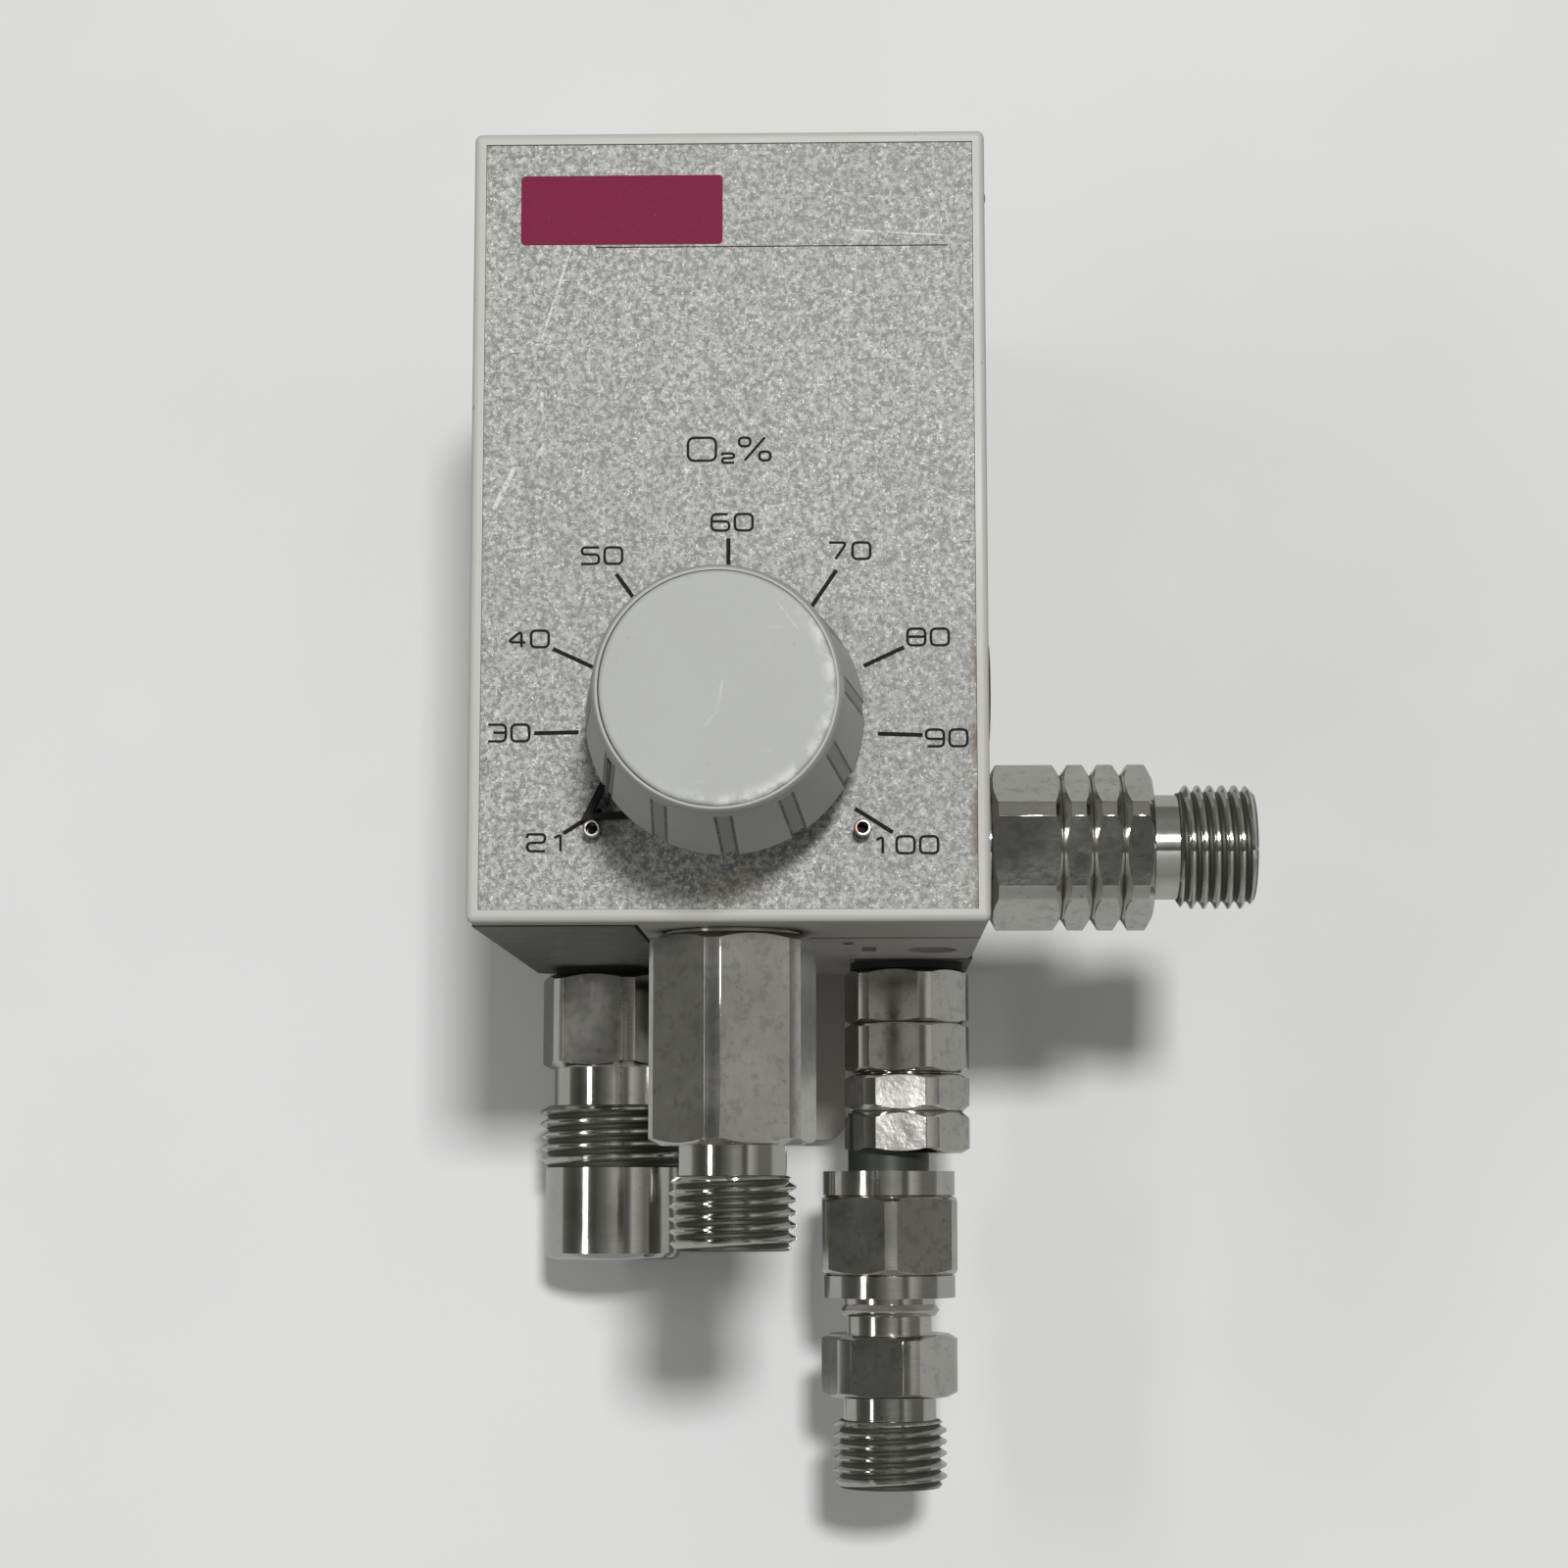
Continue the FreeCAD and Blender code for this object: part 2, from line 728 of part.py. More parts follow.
def pointer():
    rear = knob_level(pointer_plate_gap)
    front = knob_level(pointer_plate_gap + pointer_plate_thickness)
    web_height = knob_clearance + knob_height - cap_thickness - knob_wall
    plate = level(pointer_plate_radius, 0, dial_height, front, rear)
    arrow = pointer_prism(1, front, rear)
    hub = level(pointer_hub_radius, 0, dial_height, knob_level(web_height), rear)
    rib_top = knob_clearance + knob_height - flute_top_margin - index_rib_margin
    rib = knob_side_bar(index_rib_width, index_rib_thickness, rib_top, pointer_plate_gap + 0.6,
                        index_rib_gap, pointer_turn)
    shape = joined([plate, arrow, hub, rib])
    nut_room = panel_nut_flats / 2 / math.cos(math.radians(30)) + 0.4
    cuts = [level(nut_room, 0, dial_height, knob_level(knob_clearance - 2), rear + 1),
            level(collet_radius + running, 0, dial_height, knob_level(web_height) - 1, rear + 1),
            pointer_prism(pointer_window_scale, front - 1, rear + 1)]
    return shape.cut(cuts)


def collet_nut():
    top = knob_clearance + knob_height - cap_thickness
    front, rear = knob_level(top), knob_level(top - collet_length)
    body = level(collet_radius, 0, dial_height, front, rear)
    return body.cut(level(shaft_radius, 0, dial_height, front - 1, rear + 1))


def control_shaft():
    front = knob_level(knob_clearance + knob_height - cap_thickness - shaft_head_inset)
    rear = shaft_rear
    rod = level(shaft_radius, 0, dial_height, front, rear)
    collar = level(shaft_radius + shaft_collar_width, 0, dial_height, rear - shaft_collar_length, rear)
    screw_bore = level(spindle_stem_radius + running, 0, dial_height, shaft_screw_depth, rear + 1)
    return joined([rod, collar]).cut(screw_bore)


def shaft_bush():
    front = knob_level(panel_nut_thickness + bush_front_margin)
    threaded = level(bush_thread_radius, 0, dial_height, front, cover_inner_face)
    head = level(bush_head_radius, 0, dial_height, cover_inner_face, cover_inner_face + bush_length)
    return joined([threaded, head]).cut(level(shaft_radius + running, 0, dial_height, front - 1, valve_rear))


def panel_nut():
    nut = hexagon(panel_nut_flats, panel_nut_corner_radius, 0, panel_nut_thickness, 0)
    nut.rotate(FreeCAD.Vector(), FreeCAD.Vector(1, 0, 0), 90)
    nut.translate(FreeCAD.Vector(0, depth(0), dial_height))
    return nut.cut(level(bush_thread_radius, 0, dial_height, knob_level(panel_nut_thickness + 1), 1))


def valve_body():
    metal = block(valve_left, valve_right, cover_inner_face, valve_rear, valve_bottom, valve_top)
    between_seats = (air_seat_front + seat_length + oxygen_seat_front) / 2
    air_chamber = air_seat_front - channel_radius
    oxygen_chamber = oxygen_seat_front + seat_length + channel_radius
    primary_port_top = valve_bottom + primary_spigot_length
    auxiliary_port_end = valve_right - auxiliary_spigot_length
    cuts = [level(valve_bore_radius, 0, dial_height, cover_inner_face - 1, valve_bore_end),
            upright(outlet_spigot_radius, 0, primary_depth, valve_bottom - 1, primary_port_top),
            upright(outlet_passage_radius, 0, primary_depth, valve_bottom, auxiliary_height),
            sideways(outlet_spigot_radius, auxiliary_depth, auxiliary_height,
                     auxiliary_port_end, valve_right + 1),
            sideways(gallery_radius, auxiliary_depth, auxiliary_height, 0, valve_right),
            level(cross_gallery_radius, 0, auxiliary_height, primary_depth, between_seats),
            upright(gallery_radius, 0, between_seats, auxiliary_height, dial_height),
            sideways(channel_radius, oxygen_chamber, dial_height, 0, oxygen_channel_across)]
    for across, behind in ((air_channel_across, air_chamber), (oxygen_channel_across, oxygen_chamber)):
        cuts.append(upright(channel_radius, across, behind, dial_height, balance_height))
        cuts.append(level(channel_radius, across, balance_height, behind, valve_rear + 1))
    return metal.cut(cuts)


def valve_seat(front):
    outer = level(valve_bore_radius, 0, dial_height, front, front + seat_length)
    return outer.cut(level(seat_bore, 0, dial_height, front - 1, front + seat_length + 1))


def air_seat():
    return valve_seat(air_seat_front)


def oxygen_seat():
    return valve_seat(oxygen_seat_front)


def valve_spindle():
    """Double needle: its front cone shuts the air seat at 100, its rear cone the oxygen seat at 21."""
    air_cone = air_seat_front + seat_length + spindle_travel + cone_gap
    oxygen_cone = oxygen_seat_front - cone_gap
    profile = [(0, spindle_front), (spindle_stem_radius, spindle_front),
               (spindle_stem_radius, air_cone - cone_nose), (seat_bore - 1, air_cone - cone_nose),
               (seat_bore - 0.6, air_cone), (cone_radius, air_cone),
               (cone_radius, air_cone + cone_length), (spindle_stem_radius, air_cone + cone_length + 1),
               (spindle_stem_radius, oxygen_cone - cone_length - 1), (cone_radius, oxygen_cone - cone_length),
               (cone_radius, oxygen_cone), (seat_bore - 0.6, oxygen_cone),
               (seat_bore - 1, oxygen_cone + cone_nose), (0, oxygen_cone + cone_nose)]
    return turned_level(profile, 0, dial_height)


def valve_gasket():
    sheet = block(valve_left, valve_right, valve_rear, valve_rear + gas_gasket, balance_bottom, valve_top)
    return sheet.cut([level(channel_radius, across, balance_height, valve_rear - 1, valve_rear + 2)
                      for across in (air_channel_across, oxygen_channel_across)])


def balance_half(side):
    """One half of the balance module: diaphragm room, seat and poppet chamber in a row."""
    inner = diaphragm_thickness / 2
    left, right = sorted((side * inner, side * module_half_width))
    metal = block(left, right, valve_rear + gas_gasket, body_depth - rear_wall, balance_bottom, balance_top)

    def room(radius, start, end):
        ends = sorted((side * start, side * end))
        return sideways(radius, balance_depth, balance_height, *ends)
    port_across, port_behind = transfer_places()[0 if side < 0 else 1]
    channel_across = air_channel_across if side < 0 else oxygen_channel_across
    cuts = [room(diaphragm_radius, inner - 0.1, inner + diaphragm_swing),
            room(balance_seat_radius, inner, balance_seat_end + 1),
            level(channel_radius, channel_across, balance_height, valve_rear, balance_depth),
            room(balance_chamber_radius, balance_seat_end, balance_chamber_end),
            upright(transfer_bore, port_across, port_behind, balance_bottom, balance_height),
            upright(transfer_radius, port_across, port_behind, balance_bottom - 1,
                    balance_bottom + transfer_engagement)]
    for height in bracket_screw_heights:
        cuts.append(level(bracket_screw_radius, side * bracket_screw_spread, height,
                          body_depth - rear_wall - bracket_screw_grip, body_depth))
    return metal.cut(cuts)


def balance_left():
    return balance_half(-1)


def balance_right():
    return balance_half(1)


def diaphragm():
    disc = sideways(diaphragm_clamp_radius, balance_depth, balance_height,
                    -diaphragm_thickness / 2, diaphragm_thickness / 2)
    return disc.cut(sideways(balance_stem_radius + running, balance_depth, balance_height, -5, 5))


def balance_spindle():
    reach = balance_seat_end + balance_poppet_gap
    stem = sideways(balance_stem_radius, balance_depth, balance_height, -reach, reach)
    discs = [stem]
    for side in (-1, 1):
        ends = sorted((side * reach, side * (reach + balance_poppet_thickness)))
        discs.append(sideways(balance_poppet_radius, balance_depth, balance_height, *ends))
    return joined(discs)


alarm_piston_start = -alarm_bore_end + alarm_piston_gap
alarm_spring_start = alarm_piston_start + alarm_piston_length / 2


def alarm_bar(radius, left, right):
    """Cylinder on the alarm piston's axis."""
    return sideways(radius, alarm_depth, alarm_height, left, right)


def alarm_body():
    metal = block(-alarm_half_width, alarm_half_width, alarm_front, body_depth - rear_wall,
                  balance_top, alarm_top)
    cuts = [alarm_bar(alarm_bore_radius, -alarm_bore_end, alarm_half_width + 1)]
    for side in (-1, 1):
        cuts.append(level(bracket_screw_radius, side * bracket_screw_spread, upper_screw_height,
                          body_depth - rear_wall - bracket_screw_grip, body_depth))
    return metal.cut(cuts)


def alarm_piston():
    end = alarm_piston_start + alarm_piston_length
    head = alarm_bar(alarm_bore_radius - running, alarm_piston_start, end)
    return head.cut(alarm_bar(alarm_spring_coil + alarm_spring_clearance, alarm_spring_start, end + 1))


def alarm_spring():
    end = alarm_half_width - alarm_plug_length
    tube = alarm_bar(alarm_spring_coil, alarm_spring_start, end)
    return tube.cut(alarm_bar(alarm_spring_coil - spring_wall, alarm_spring_start - 1, end + 1))


def alarm_plug():
    return alarm_bar(alarm_bore_radius, alarm_half_width - alarm_plug_length, alarm_half_width)


def alarm_reed():
    left = -reed_length / 2
    blade = block(left, -left, alarm_front - reed_thickness, alarm_front,
                  alarm_height - reed_width / 2, alarm_height + reed_width / 2)
    return blade


def washer(outer, inner, across, behind, thickness):
    return ring(outer, inner, across, behind, body_bottom - thickness, body_bottom)


def primary_outlet():
    hex_top = body_bottom - primary_hex_gap
    hex_bottom = hex_top - primary_hex_length
    neck_bottom = hex_bottom - primary_neck_length
    end = neck_bottom - primary_thread_length
    seat = valve_bottom - outlet_washer
    top = valve_bottom + primary_spigot_length - outlet_washer
    shape = joined([hexagon(outlet_flats, outlet_corner_radius, hex_bottom, hex_top, primary_hex_turn),
                    rod(outlet_collar_radius, hex_top, seat),
                    rod(outlet_spigot_radius, seat, top),
                    rod(thread_neck_radius, neck_bottom - 1, hex_bottom + 1),
                    threaded_end(oxygen_thread_radius, end, neck_bottom)])
    socket = rod(outlet_bore_radius, end - 1, end + primary_socket_length)
    passage = rod(outlet_passage_radius, end, top + 1)
    return placed(shape.cut([socket, passage]), 0, primary_depth)


def primary_washer():
    return ring(outlet_collar_radius, outlet_spigot_radius, 0, primary_depth,
                valve_bottom - outlet_washer, valve_bottom)


def auxiliary_outlet():
    """Turned about Z with its thread upwards, then laid along +X."""
    seat = valve_right + outlet_washer
    inner_end = seat - auxiliary_spigot_length + outlet_washer
    grooves = [(auxiliary_hex_start + station, auxiliary_groove_width, auxiliary_groove_root)
               for station in auxiliary_groove_stations]
    thread = threaded_end(oxygen_thread_radius, -auxiliary_end, -auxiliary_neck_end)
    thread.rotate(FreeCAD.Vector(), FreeCAD.Vector(1, 0, 0), 180)
    shape = joined([hexagon(outlet_flats, outlet_corner_radius, auxiliary_hex_start, auxiliary_hex_end,
                            hex_face_turn, grooves),
                    rod(outlet_collar_radius, seat, auxiliary_hex_start),
                    rod(outlet_spigot_radius, inner_end, seat),
                    rod(thread_neck_radius, auxiliary_hex_end - 1, auxiliary_neck_end + 1),
                    thread])
    shape = shape.cut([rod(outlet_bore_radius, auxiliary_socket_floor, auxiliary_end + 1),
                       rod(check_seat_radius, seat, auxiliary_end),
                       rod(check_chamber_radius, inner_end - 1, auxiliary_chamber_end)])
    shape.rotate(FreeCAD.Vector(), FreeCAD.Vector(0, 0, 1), auxiliary_hex_turn)
    shape.rotate(FreeCAD.Vector(), FreeCAD.Vector(0, 1, 0), 90)
    shape.translate(FreeCAD.Vector(0, depth(auxiliary_depth), auxiliary_height))
    return shape


hex_face_turn = 30
auxiliary_hex_start = half_width + auxiliary_hex_gap
auxiliary_hex_end = auxiliary_hex_start + auxiliary_hex_length
auxiliary_neck_end = auxiliary_hex_end + auxiliary_neck_length
auxiliary_end = auxiliary_neck_end + auxiliary_thread_length
auxiliary_socket_floor = auxiliary_end - auxiliary_socket_length
auxiliary_chamber_end = auxiliary_hex_start + auxiliary_seat_station
auxiliary_spring_end = auxiliary_chamber_end - check_chamber_length


def auxiliary_washer():
    outer = auxiliary_bar(outlet_collar_radius, valve_right, valve_right + outlet_washer)
    return outer.cut(auxiliary_bar(outlet_spigot_radius, 0, half_width))


def auxiliary_poppet():
    face = auxiliary_chamber_end - running
    back = face - poppet_thickness
    stem = auxiliary_bar(poppet_stem_radius, back - poppet_stem_length,
                         auxiliary_socket_floor - auxiliary_pin_short)
    return joined([auxiliary_bar(poppet_radius, back, face), stem])


def auxiliary_spring():
    right = auxiliary_chamber_end - running - poppet_thickness
    tube = auxiliary_bar(spring_outer_radius, auxiliary_spring_end, right)
    return tube.cut(auxiliary_bar(spring_outer_radius - spring_wall, auxiliary_spring_end - 1, right + 1))


def auxiliary_retainer():
    """Perforated disc that the spring pushes against."""
    left = auxiliary_spring_end - retainer_thickness
    outer = auxiliary_bar(check_chamber_radius, left, auxiliary_spring_end)
    return outer.cut(auxiliary_bar(retainer_hole_radius, 0, auxiliary_end))


def check_poppet(across, behind, chamber_bottom):
    face = chamber_bottom + running
    disc = upright(poppet_radius, across, behind, face, face + poppet_thickness)
    stem = upright(poppet_stem_radius, across, behind, face, face + poppet_thickness + poppet_stem_length)
    return joined([disc, stem])


def check_spring(across, behind, chamber_bottom):
    bottom = chamber_bottom + running + poppet_thickness
    top = chamber_bottom + check_chamber_length
    return ring(spring_outer_radius, spring_outer_radius - spring_wall, across, behind, bottom, top)


def check_filter(across, behind, chamber_bottom):
    """Sintered cup that also holds the spring's upper end."""
    bottom = chamber_bottom + check_chamber_length
    cup = upright(filter_radius, across, behind, bottom, bottom + filter_length)
    return cup.cut(upright(filter_radius - filter_wall, across, behind,
                           bottom + filter_floor, bottom + filter_length + 1))


air_hex_top = body_bottom - air_washer
air_hex_bottom = air_hex_top - air_hex_length
air_neck_bottom = air_hex_bottom - air_neck_length
air_thread_bottom = air_neck_bottom - air_thread_length
air_end = air_thread_bottom - air_nose_length
air_chamber_bottom = air_hex_top - air_seat_drop


def air_inlet():
    """Hexagon, wide thread and plain nose; its bore narrows to the check valve's seat."""
    top = body_bottom + inlet_spigot_length
    nose = rod(air_nose_radius, air_end, air_thread_bottom + 1)
    rim = [edge for edge in nose.Edges if edge.BoundBox.ZMax < air_end + 0.1]
    shape = joined([hexagon(outlet_flats, outlet_corner_radius, air_hex_bottom, air_hex_top, air_hex_turn),
                    rod(outlet_spigot_radius, air_hex_top, top),
                    rod(air_neck_radius, air_neck_bottom - 1, air_hex_bottom + 1),
                    threaded_end(air_thread_radius, air_thread_bottom, air_neck_bottom),
                    nose.makeFillet(air_nose_round, rim)])
    bores = [rod(air_bore_radius, air_end - 1, air_chamber_bottom - check_seat_thickness),
             rod(check_seat_radius, air_end, top),
             rod(check_chamber_radius, air_chamber_bottom, top + 1)]
    return placed(shape.cut(bores), air_across, air_depth)


def air_washer_ring():
    return washer(outlet_collar_radius, outlet_spigot_radius, air_across, air_depth, air_washer)


def air_poppet():
    return check_poppet(air_across, air_depth, air_chamber_bottom)


def air_spring():
    return check_spring(air_across, air_depth, air_chamber_bottom)


def air_filter():
    return check_filter(air_across, air_depth, air_chamber_bottom)


oxygen_hex_top = body_bottom - oxygen_washer
oxygen_body_bottom = oxygen_hex_top - oxygen_body_length
oxygen_valve_top = oxygen_body_bottom - oxygen_joint_gap
oxygen_valve_bottom = oxygen_valve_top - oxygen_valve_length
nipple_bottom = oxygen_valve_bottom - nipple_length
nut_bottom = nipple_bottom - nut_top_collar - nut_hex_length - nut_bottom_collar
adapter_hex_top = nut_bottom - adapter_crest_length - adapter_upper_neck
adapter_hex_bottom = adapter_hex_top - adapter_hex_length
adapter_neck_bottom = adapter_hex_bottom - adapter_lower_neck
adapter_end = adapter_neck_bottom - adapter_thread_length
oxygen_chamber_bottom = oxygen_body_bottom + oxygen_seat_thickness


def oxygen_inlet():
    """Grooved hexagon that screws up into the oxygen block and holds the check valve."""
    groove = (oxygen_hex_top - oxygen_body_groove, oxygen_narrow_groove, oxygen_groove_root)
    top = body_bottom + inlet_spigot_length
    shape = joined([hexagon(oxygen_flats, oxygen_corner_radius, oxygen_body_bottom, oxygen_hex_top,
                            oxygen_hex_turn, [groove]),
                    rod(oxygen_spigot_radius, oxygen_hex_top, top)])
    bores = [rod(check_chamber_radius, oxygen_chamber_bottom, top + 1),
             rod(check_seat_radius, oxygen_body_bottom - 1, top)]
    return placed(shape.cut(bores), oxygen_across, oxygen_depth)


def oxygen_washer_ring():
    return washer(oxygen_washer_radius, oxygen_spigot_radius, oxygen_across, oxygen_depth, oxygen_washer)


def oxygen_offset_body():
    """Second grooved hexagon, whose lower port lies a little to the left of its own axis."""
    groove = (oxygen_valve_top - oxygen_valve_groove, oxygen_wide_groove, oxygen_groove_root)
    bar = hexagon(oxygen_flats, oxygen_corner_radius, oxygen_valve_bottom, oxygen_valve_top,
                  oxygen_valve_turn, [groove])
    boss = rod(oxygen_groove_root - 1, oxygen_valve_top, oxygen_body_bottom)
    shape = placed(joined([bar, boss]), oxygen_across, oxygen_depth)
    upper = upright(check_seat_radius, oxygen_across, oxygen_depth,
                    oxygen_valve_bottom + offset_body_web, oxygen_body_bottom + 1)
    lower = upright(nipple_radius, lower_across, oxygen_depth,
                    oxygen_valve_bottom - 1, oxygen_valve_bottom + nipple_insert)
    return shape.cut([upper, lower])


def oxygen_nipple():
    return ring(nipple_radius, check_seat_radius, lower_across, oxygen_depth,
                nipple_bottom - nut_shoulder, oxygen_valve_bottom + nipple_insert)


def union_nut():
    hex_top = nipple_bottom - nut_top_collar
    hex_bottom = hex_top - nut_hex_length
    shoulder = nipple_bottom - nut_shoulder
    shape = joined([hexagon(nut_flats, nut_corner_radius, hex_bottom, hex_top, nut_hex_turn),
                    rod(nut_collar_radius, hex_top - 1, nipple_bottom),
                    rod(nut_collar_radius, nut_bottom, hex_bottom + 1)])
    bores = [rod(nipple_radius, shoulder, nipple_bottom + 1),
             rod(nut_bore_radius, nut_bottom - 1, shoulder)]
    return placed(shape.cut(bores), lower_across, oxygen_depth)


def oxygen_adapter():
    """Body of the inlet adapter: it enters the union nut above and takes the hose below."""
    top = nut_bottom + adapter_insert
    shape = joined([hexagon(adapter_flats, adapter_corner_radius, adapter_hex_bottom, adapter_hex_top,
                            adapter_hex_turn),
                    rod(adapter_upper_neck_radius, adapter_hex_top - 1, top),
                    rod(adapter_crest_radius, nut_bottom - adapter_crest_length, top),
                    rod(adapter_lower_neck_radius, adapter_neck_bottom - 1, adapter_hex_bottom + 1),
                    threaded_end(oxygen_thread_radius, adapter_end, adapter_neck_bottom)])
    bores = [rod(adapter_bore_radius, adapter_end - 1, adapter_end + adapter_socket_length),
             rod(adapter_passage_radius, adapter_end, top + 1)]
    return placed(shape.cut(bores), lower_across, oxygen_depth)


def oxygen_poppet():
    return check_poppet(oxygen_across, oxygen_depth, oxygen_chamber_bottom)


def oxygen_spring():
    return check_spring(oxygen_across, oxygen_depth, oxygen_chamber_bottom)


def oxygen_filter():
    return check_filter(oxygen_across, oxygen_depth, oxygen_chamber_bottom)


NODES = [front_cover, label_plate, stop_pins, cover_gasket, rear_housing, rear_bracket, bracket_screws,
         cover_strap, side_screws, side_plug, air_block, oxygen_block, transfer_tubes,
         control_knob, knob_cap, pointer, collet_nut, control_shaft, shaft_bush, panel_nut,
         valve_body, air_seat, oxygen_seat, valve_spindle, valve_gasket,
         balance_left, balance_right, diaphragm, balance_spindle,
         alarm_body, alarm_piston, alarm_spring, alarm_plug, alarm_reed,
         primary_outlet, primary_washer,
         auxiliary_outlet, auxiliary_washer, auxiliary_poppet, auxiliary_spring, auxiliary_retainer,
         air_inlet, air_washer_ring, air_poppet, air_spring, air_filter,
         oxygen_inlet, oxygen_washer_ring, oxygen_offset_body, oxygen_nipple, union_nut, oxygen_adapter,
         oxygen_poppet, oxygen_spring, oxygen_filter]

os.makedirs("parts", exist_ok=True)
for node in NODES:
    shape = node()
    solids = shape.Solids
    volume = sum(solid.Volume for solid in solids)
    state = "valid" if shape.isValid() else "INVALID"
    print(node.__name__, len(solids), "solids", round(volume, 1), "mm3", state)
    if len(solids) == 1:
        shape = solids[0]
    shape.exportStep("parts/" + node.__name__ + ".step")
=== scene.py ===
"""Looks of a wall-mounted air oxygen blender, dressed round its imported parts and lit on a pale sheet."""

import functools
import json
import math

import bmesh
import bpy
from bpy.props import FloatProperty, FloatVectorProperty, IntProperty, PointerProperty
from mathutils import Matrix, Vector

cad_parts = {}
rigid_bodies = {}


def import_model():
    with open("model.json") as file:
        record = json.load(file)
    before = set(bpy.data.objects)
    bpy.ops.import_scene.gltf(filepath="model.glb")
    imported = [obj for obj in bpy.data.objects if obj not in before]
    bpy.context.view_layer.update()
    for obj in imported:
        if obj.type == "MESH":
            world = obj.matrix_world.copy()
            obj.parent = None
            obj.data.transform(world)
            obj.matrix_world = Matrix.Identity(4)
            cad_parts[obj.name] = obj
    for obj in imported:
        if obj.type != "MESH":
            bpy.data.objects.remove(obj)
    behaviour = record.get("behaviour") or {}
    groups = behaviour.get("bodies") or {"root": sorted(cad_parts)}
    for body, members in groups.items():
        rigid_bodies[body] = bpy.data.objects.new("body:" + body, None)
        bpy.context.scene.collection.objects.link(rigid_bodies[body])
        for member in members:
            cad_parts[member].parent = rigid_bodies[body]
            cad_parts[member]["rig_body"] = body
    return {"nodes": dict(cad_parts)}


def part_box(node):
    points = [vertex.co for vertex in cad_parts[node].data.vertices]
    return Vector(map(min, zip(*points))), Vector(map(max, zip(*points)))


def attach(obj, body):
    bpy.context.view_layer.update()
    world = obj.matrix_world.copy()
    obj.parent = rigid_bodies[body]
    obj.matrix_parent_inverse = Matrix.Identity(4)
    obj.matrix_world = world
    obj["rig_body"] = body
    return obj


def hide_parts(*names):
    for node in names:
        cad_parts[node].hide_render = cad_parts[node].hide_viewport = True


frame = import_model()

bl_info = {
    "name": "Air Oxygen Blender Finish",
    "version": (1, 0, 0),
    "blender": (4, 5, 0),
    "location": "View3D > Sidebar > Gas Blender",
    "description": "Dresses the packed parts of an air oxygen blender and lights them",
    "category": "Object",
}

MM = 0.001
FULL_TURN = 2 * math.pi
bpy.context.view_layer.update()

# Places read from the frame
LABEL_LOW, LABEL_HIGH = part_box("label_plate")
LABEL_FACE = LABEL_LOW.y
CAP_LOW, CAP_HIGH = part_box("knob_cap")
DIAL_CENTRE = Vector((0, LABEL_FACE, (CAP_LOW.z + CAP_HIGH.z) / 2))
POINTER_TURN = math.radians(-122.5)
FLUTES = 12
FLUTE_WIDTH = 1.6 * MM

# Camera that took the view: its place and the directions of its frame
CAMERA_PLACE = Vector((0.01381, -0.42635, -0.07384))
CAMERA_FORWARD = Vector((-0.02249, 0.99128, 0.12987))
CAMERA_UP = Vector((0.00378, -0.12982, 0.99153))
CAMERA_LENS = 72
CAMERA_SENSOR = 36

# Points closer than these are one: along a turned shell, at a cut, in a mesh and where shells meet
TURN_MERGE = 0.0005 * MM
CUT_MERGE = 0.0001 * MM
MESH_MERGE = 0.001 * MM
RIM_MERGE = 0.002 * MM

# End face of a hexagon as a share of its flats, and the slope of the cone outside it
HEX_END = 0.475
HEX_SLOPE = math.tan(math.radians(30))

# One turn of a thread: share of the pitch, and how far the surface stands between root and crest
THREAD_FORM = ((0, 0), (0.08, 0), (0.25, 0.5), (0.42, 1), (0.58, 1), (0.75, 0.5), (0.92, 0))
THREAD_FADE = 1.6
THREAD_SINK = 0.05 * MM
THREAD_GROOVE = 0.02 * MM

# Edges that are rounded or drawn sharp, and faces that count as a hexagon's flats
FLAT_MERGE = math.radians(0.5)
HARD_EDGE = math.radians(28)
SHARP_EDGE = math.radians(32)
TURNED_EDGE = math.radians(24)
CORNER_EDGE = math.radians(12)
CORNER_LENGTH = 1.5 * MM
FLAT_AREA = 7 * MM * MM


def length(name, description, size):
    """Setting of a length; its size is in millimetres."""
    return FloatProperty(name=name, description=description, default=size * MM, unit="LENGTH")


def tint(name, description, default):
    return FloatVectorProperty(name=name, description=description, default=default, subtype="COLOR")


class EdgeSettings(bpy.types.PropertyGroup):
    """How soft the edges of each kind of piece are."""
    casting: length("Casting edge", "Round on the painted castings' edges", 0.3)
    block: length("Block edge", "Round on the inlet blocks' edges", 0.25)
    plated: length("Plated edge", "Round on the fittings' turned edges", 0.1)
    corner: length("Hexagon corner", "Round where a hexagon's flat meets its corner", 0.72)
    steps: IntProperty(name="Turning steps", description="Facets round a turned piece",
                       default=128, min=48, max=256)


class ThreadSettings(bpy.types.PropertyGroup):
    """Form of the male threads."""
    fine_pitch: length("Oxygen thread pitch", "Pitch of the oxygen threads", 25.4 / 18)
    coarse_pitch: length("Air thread pitch", "Pitch of the air thread", 25.4 / 16)
    depth_share: FloatProperty(name="Thread depth", description="Depth as a share of the pitch",
                               default=0.6, subtype="FACTOR")


class DialSettings(bpy.types.PropertyGroup):
    """Sizes of the print round the knob."""
    tick_inner: length("Tick start", "Radius where a tick starts", 16.4)
    tick_outer: length("Tick end", "Radius where a tick ends", 21.3)
    tick_width: length("Tick width", "Width of a tick", 0.46)
    numeral_height: length("Numeral height", "Height of the dial numbers", 1.85)
    numeral_width: length("Numeral width", "Width of one figure", 1.95)
    stroke: length("Stroke", "Width of the figures' strokes", 0.3)
    ink_rise: length("Ink thickness", "How far the ink stands above the label", 0.012)


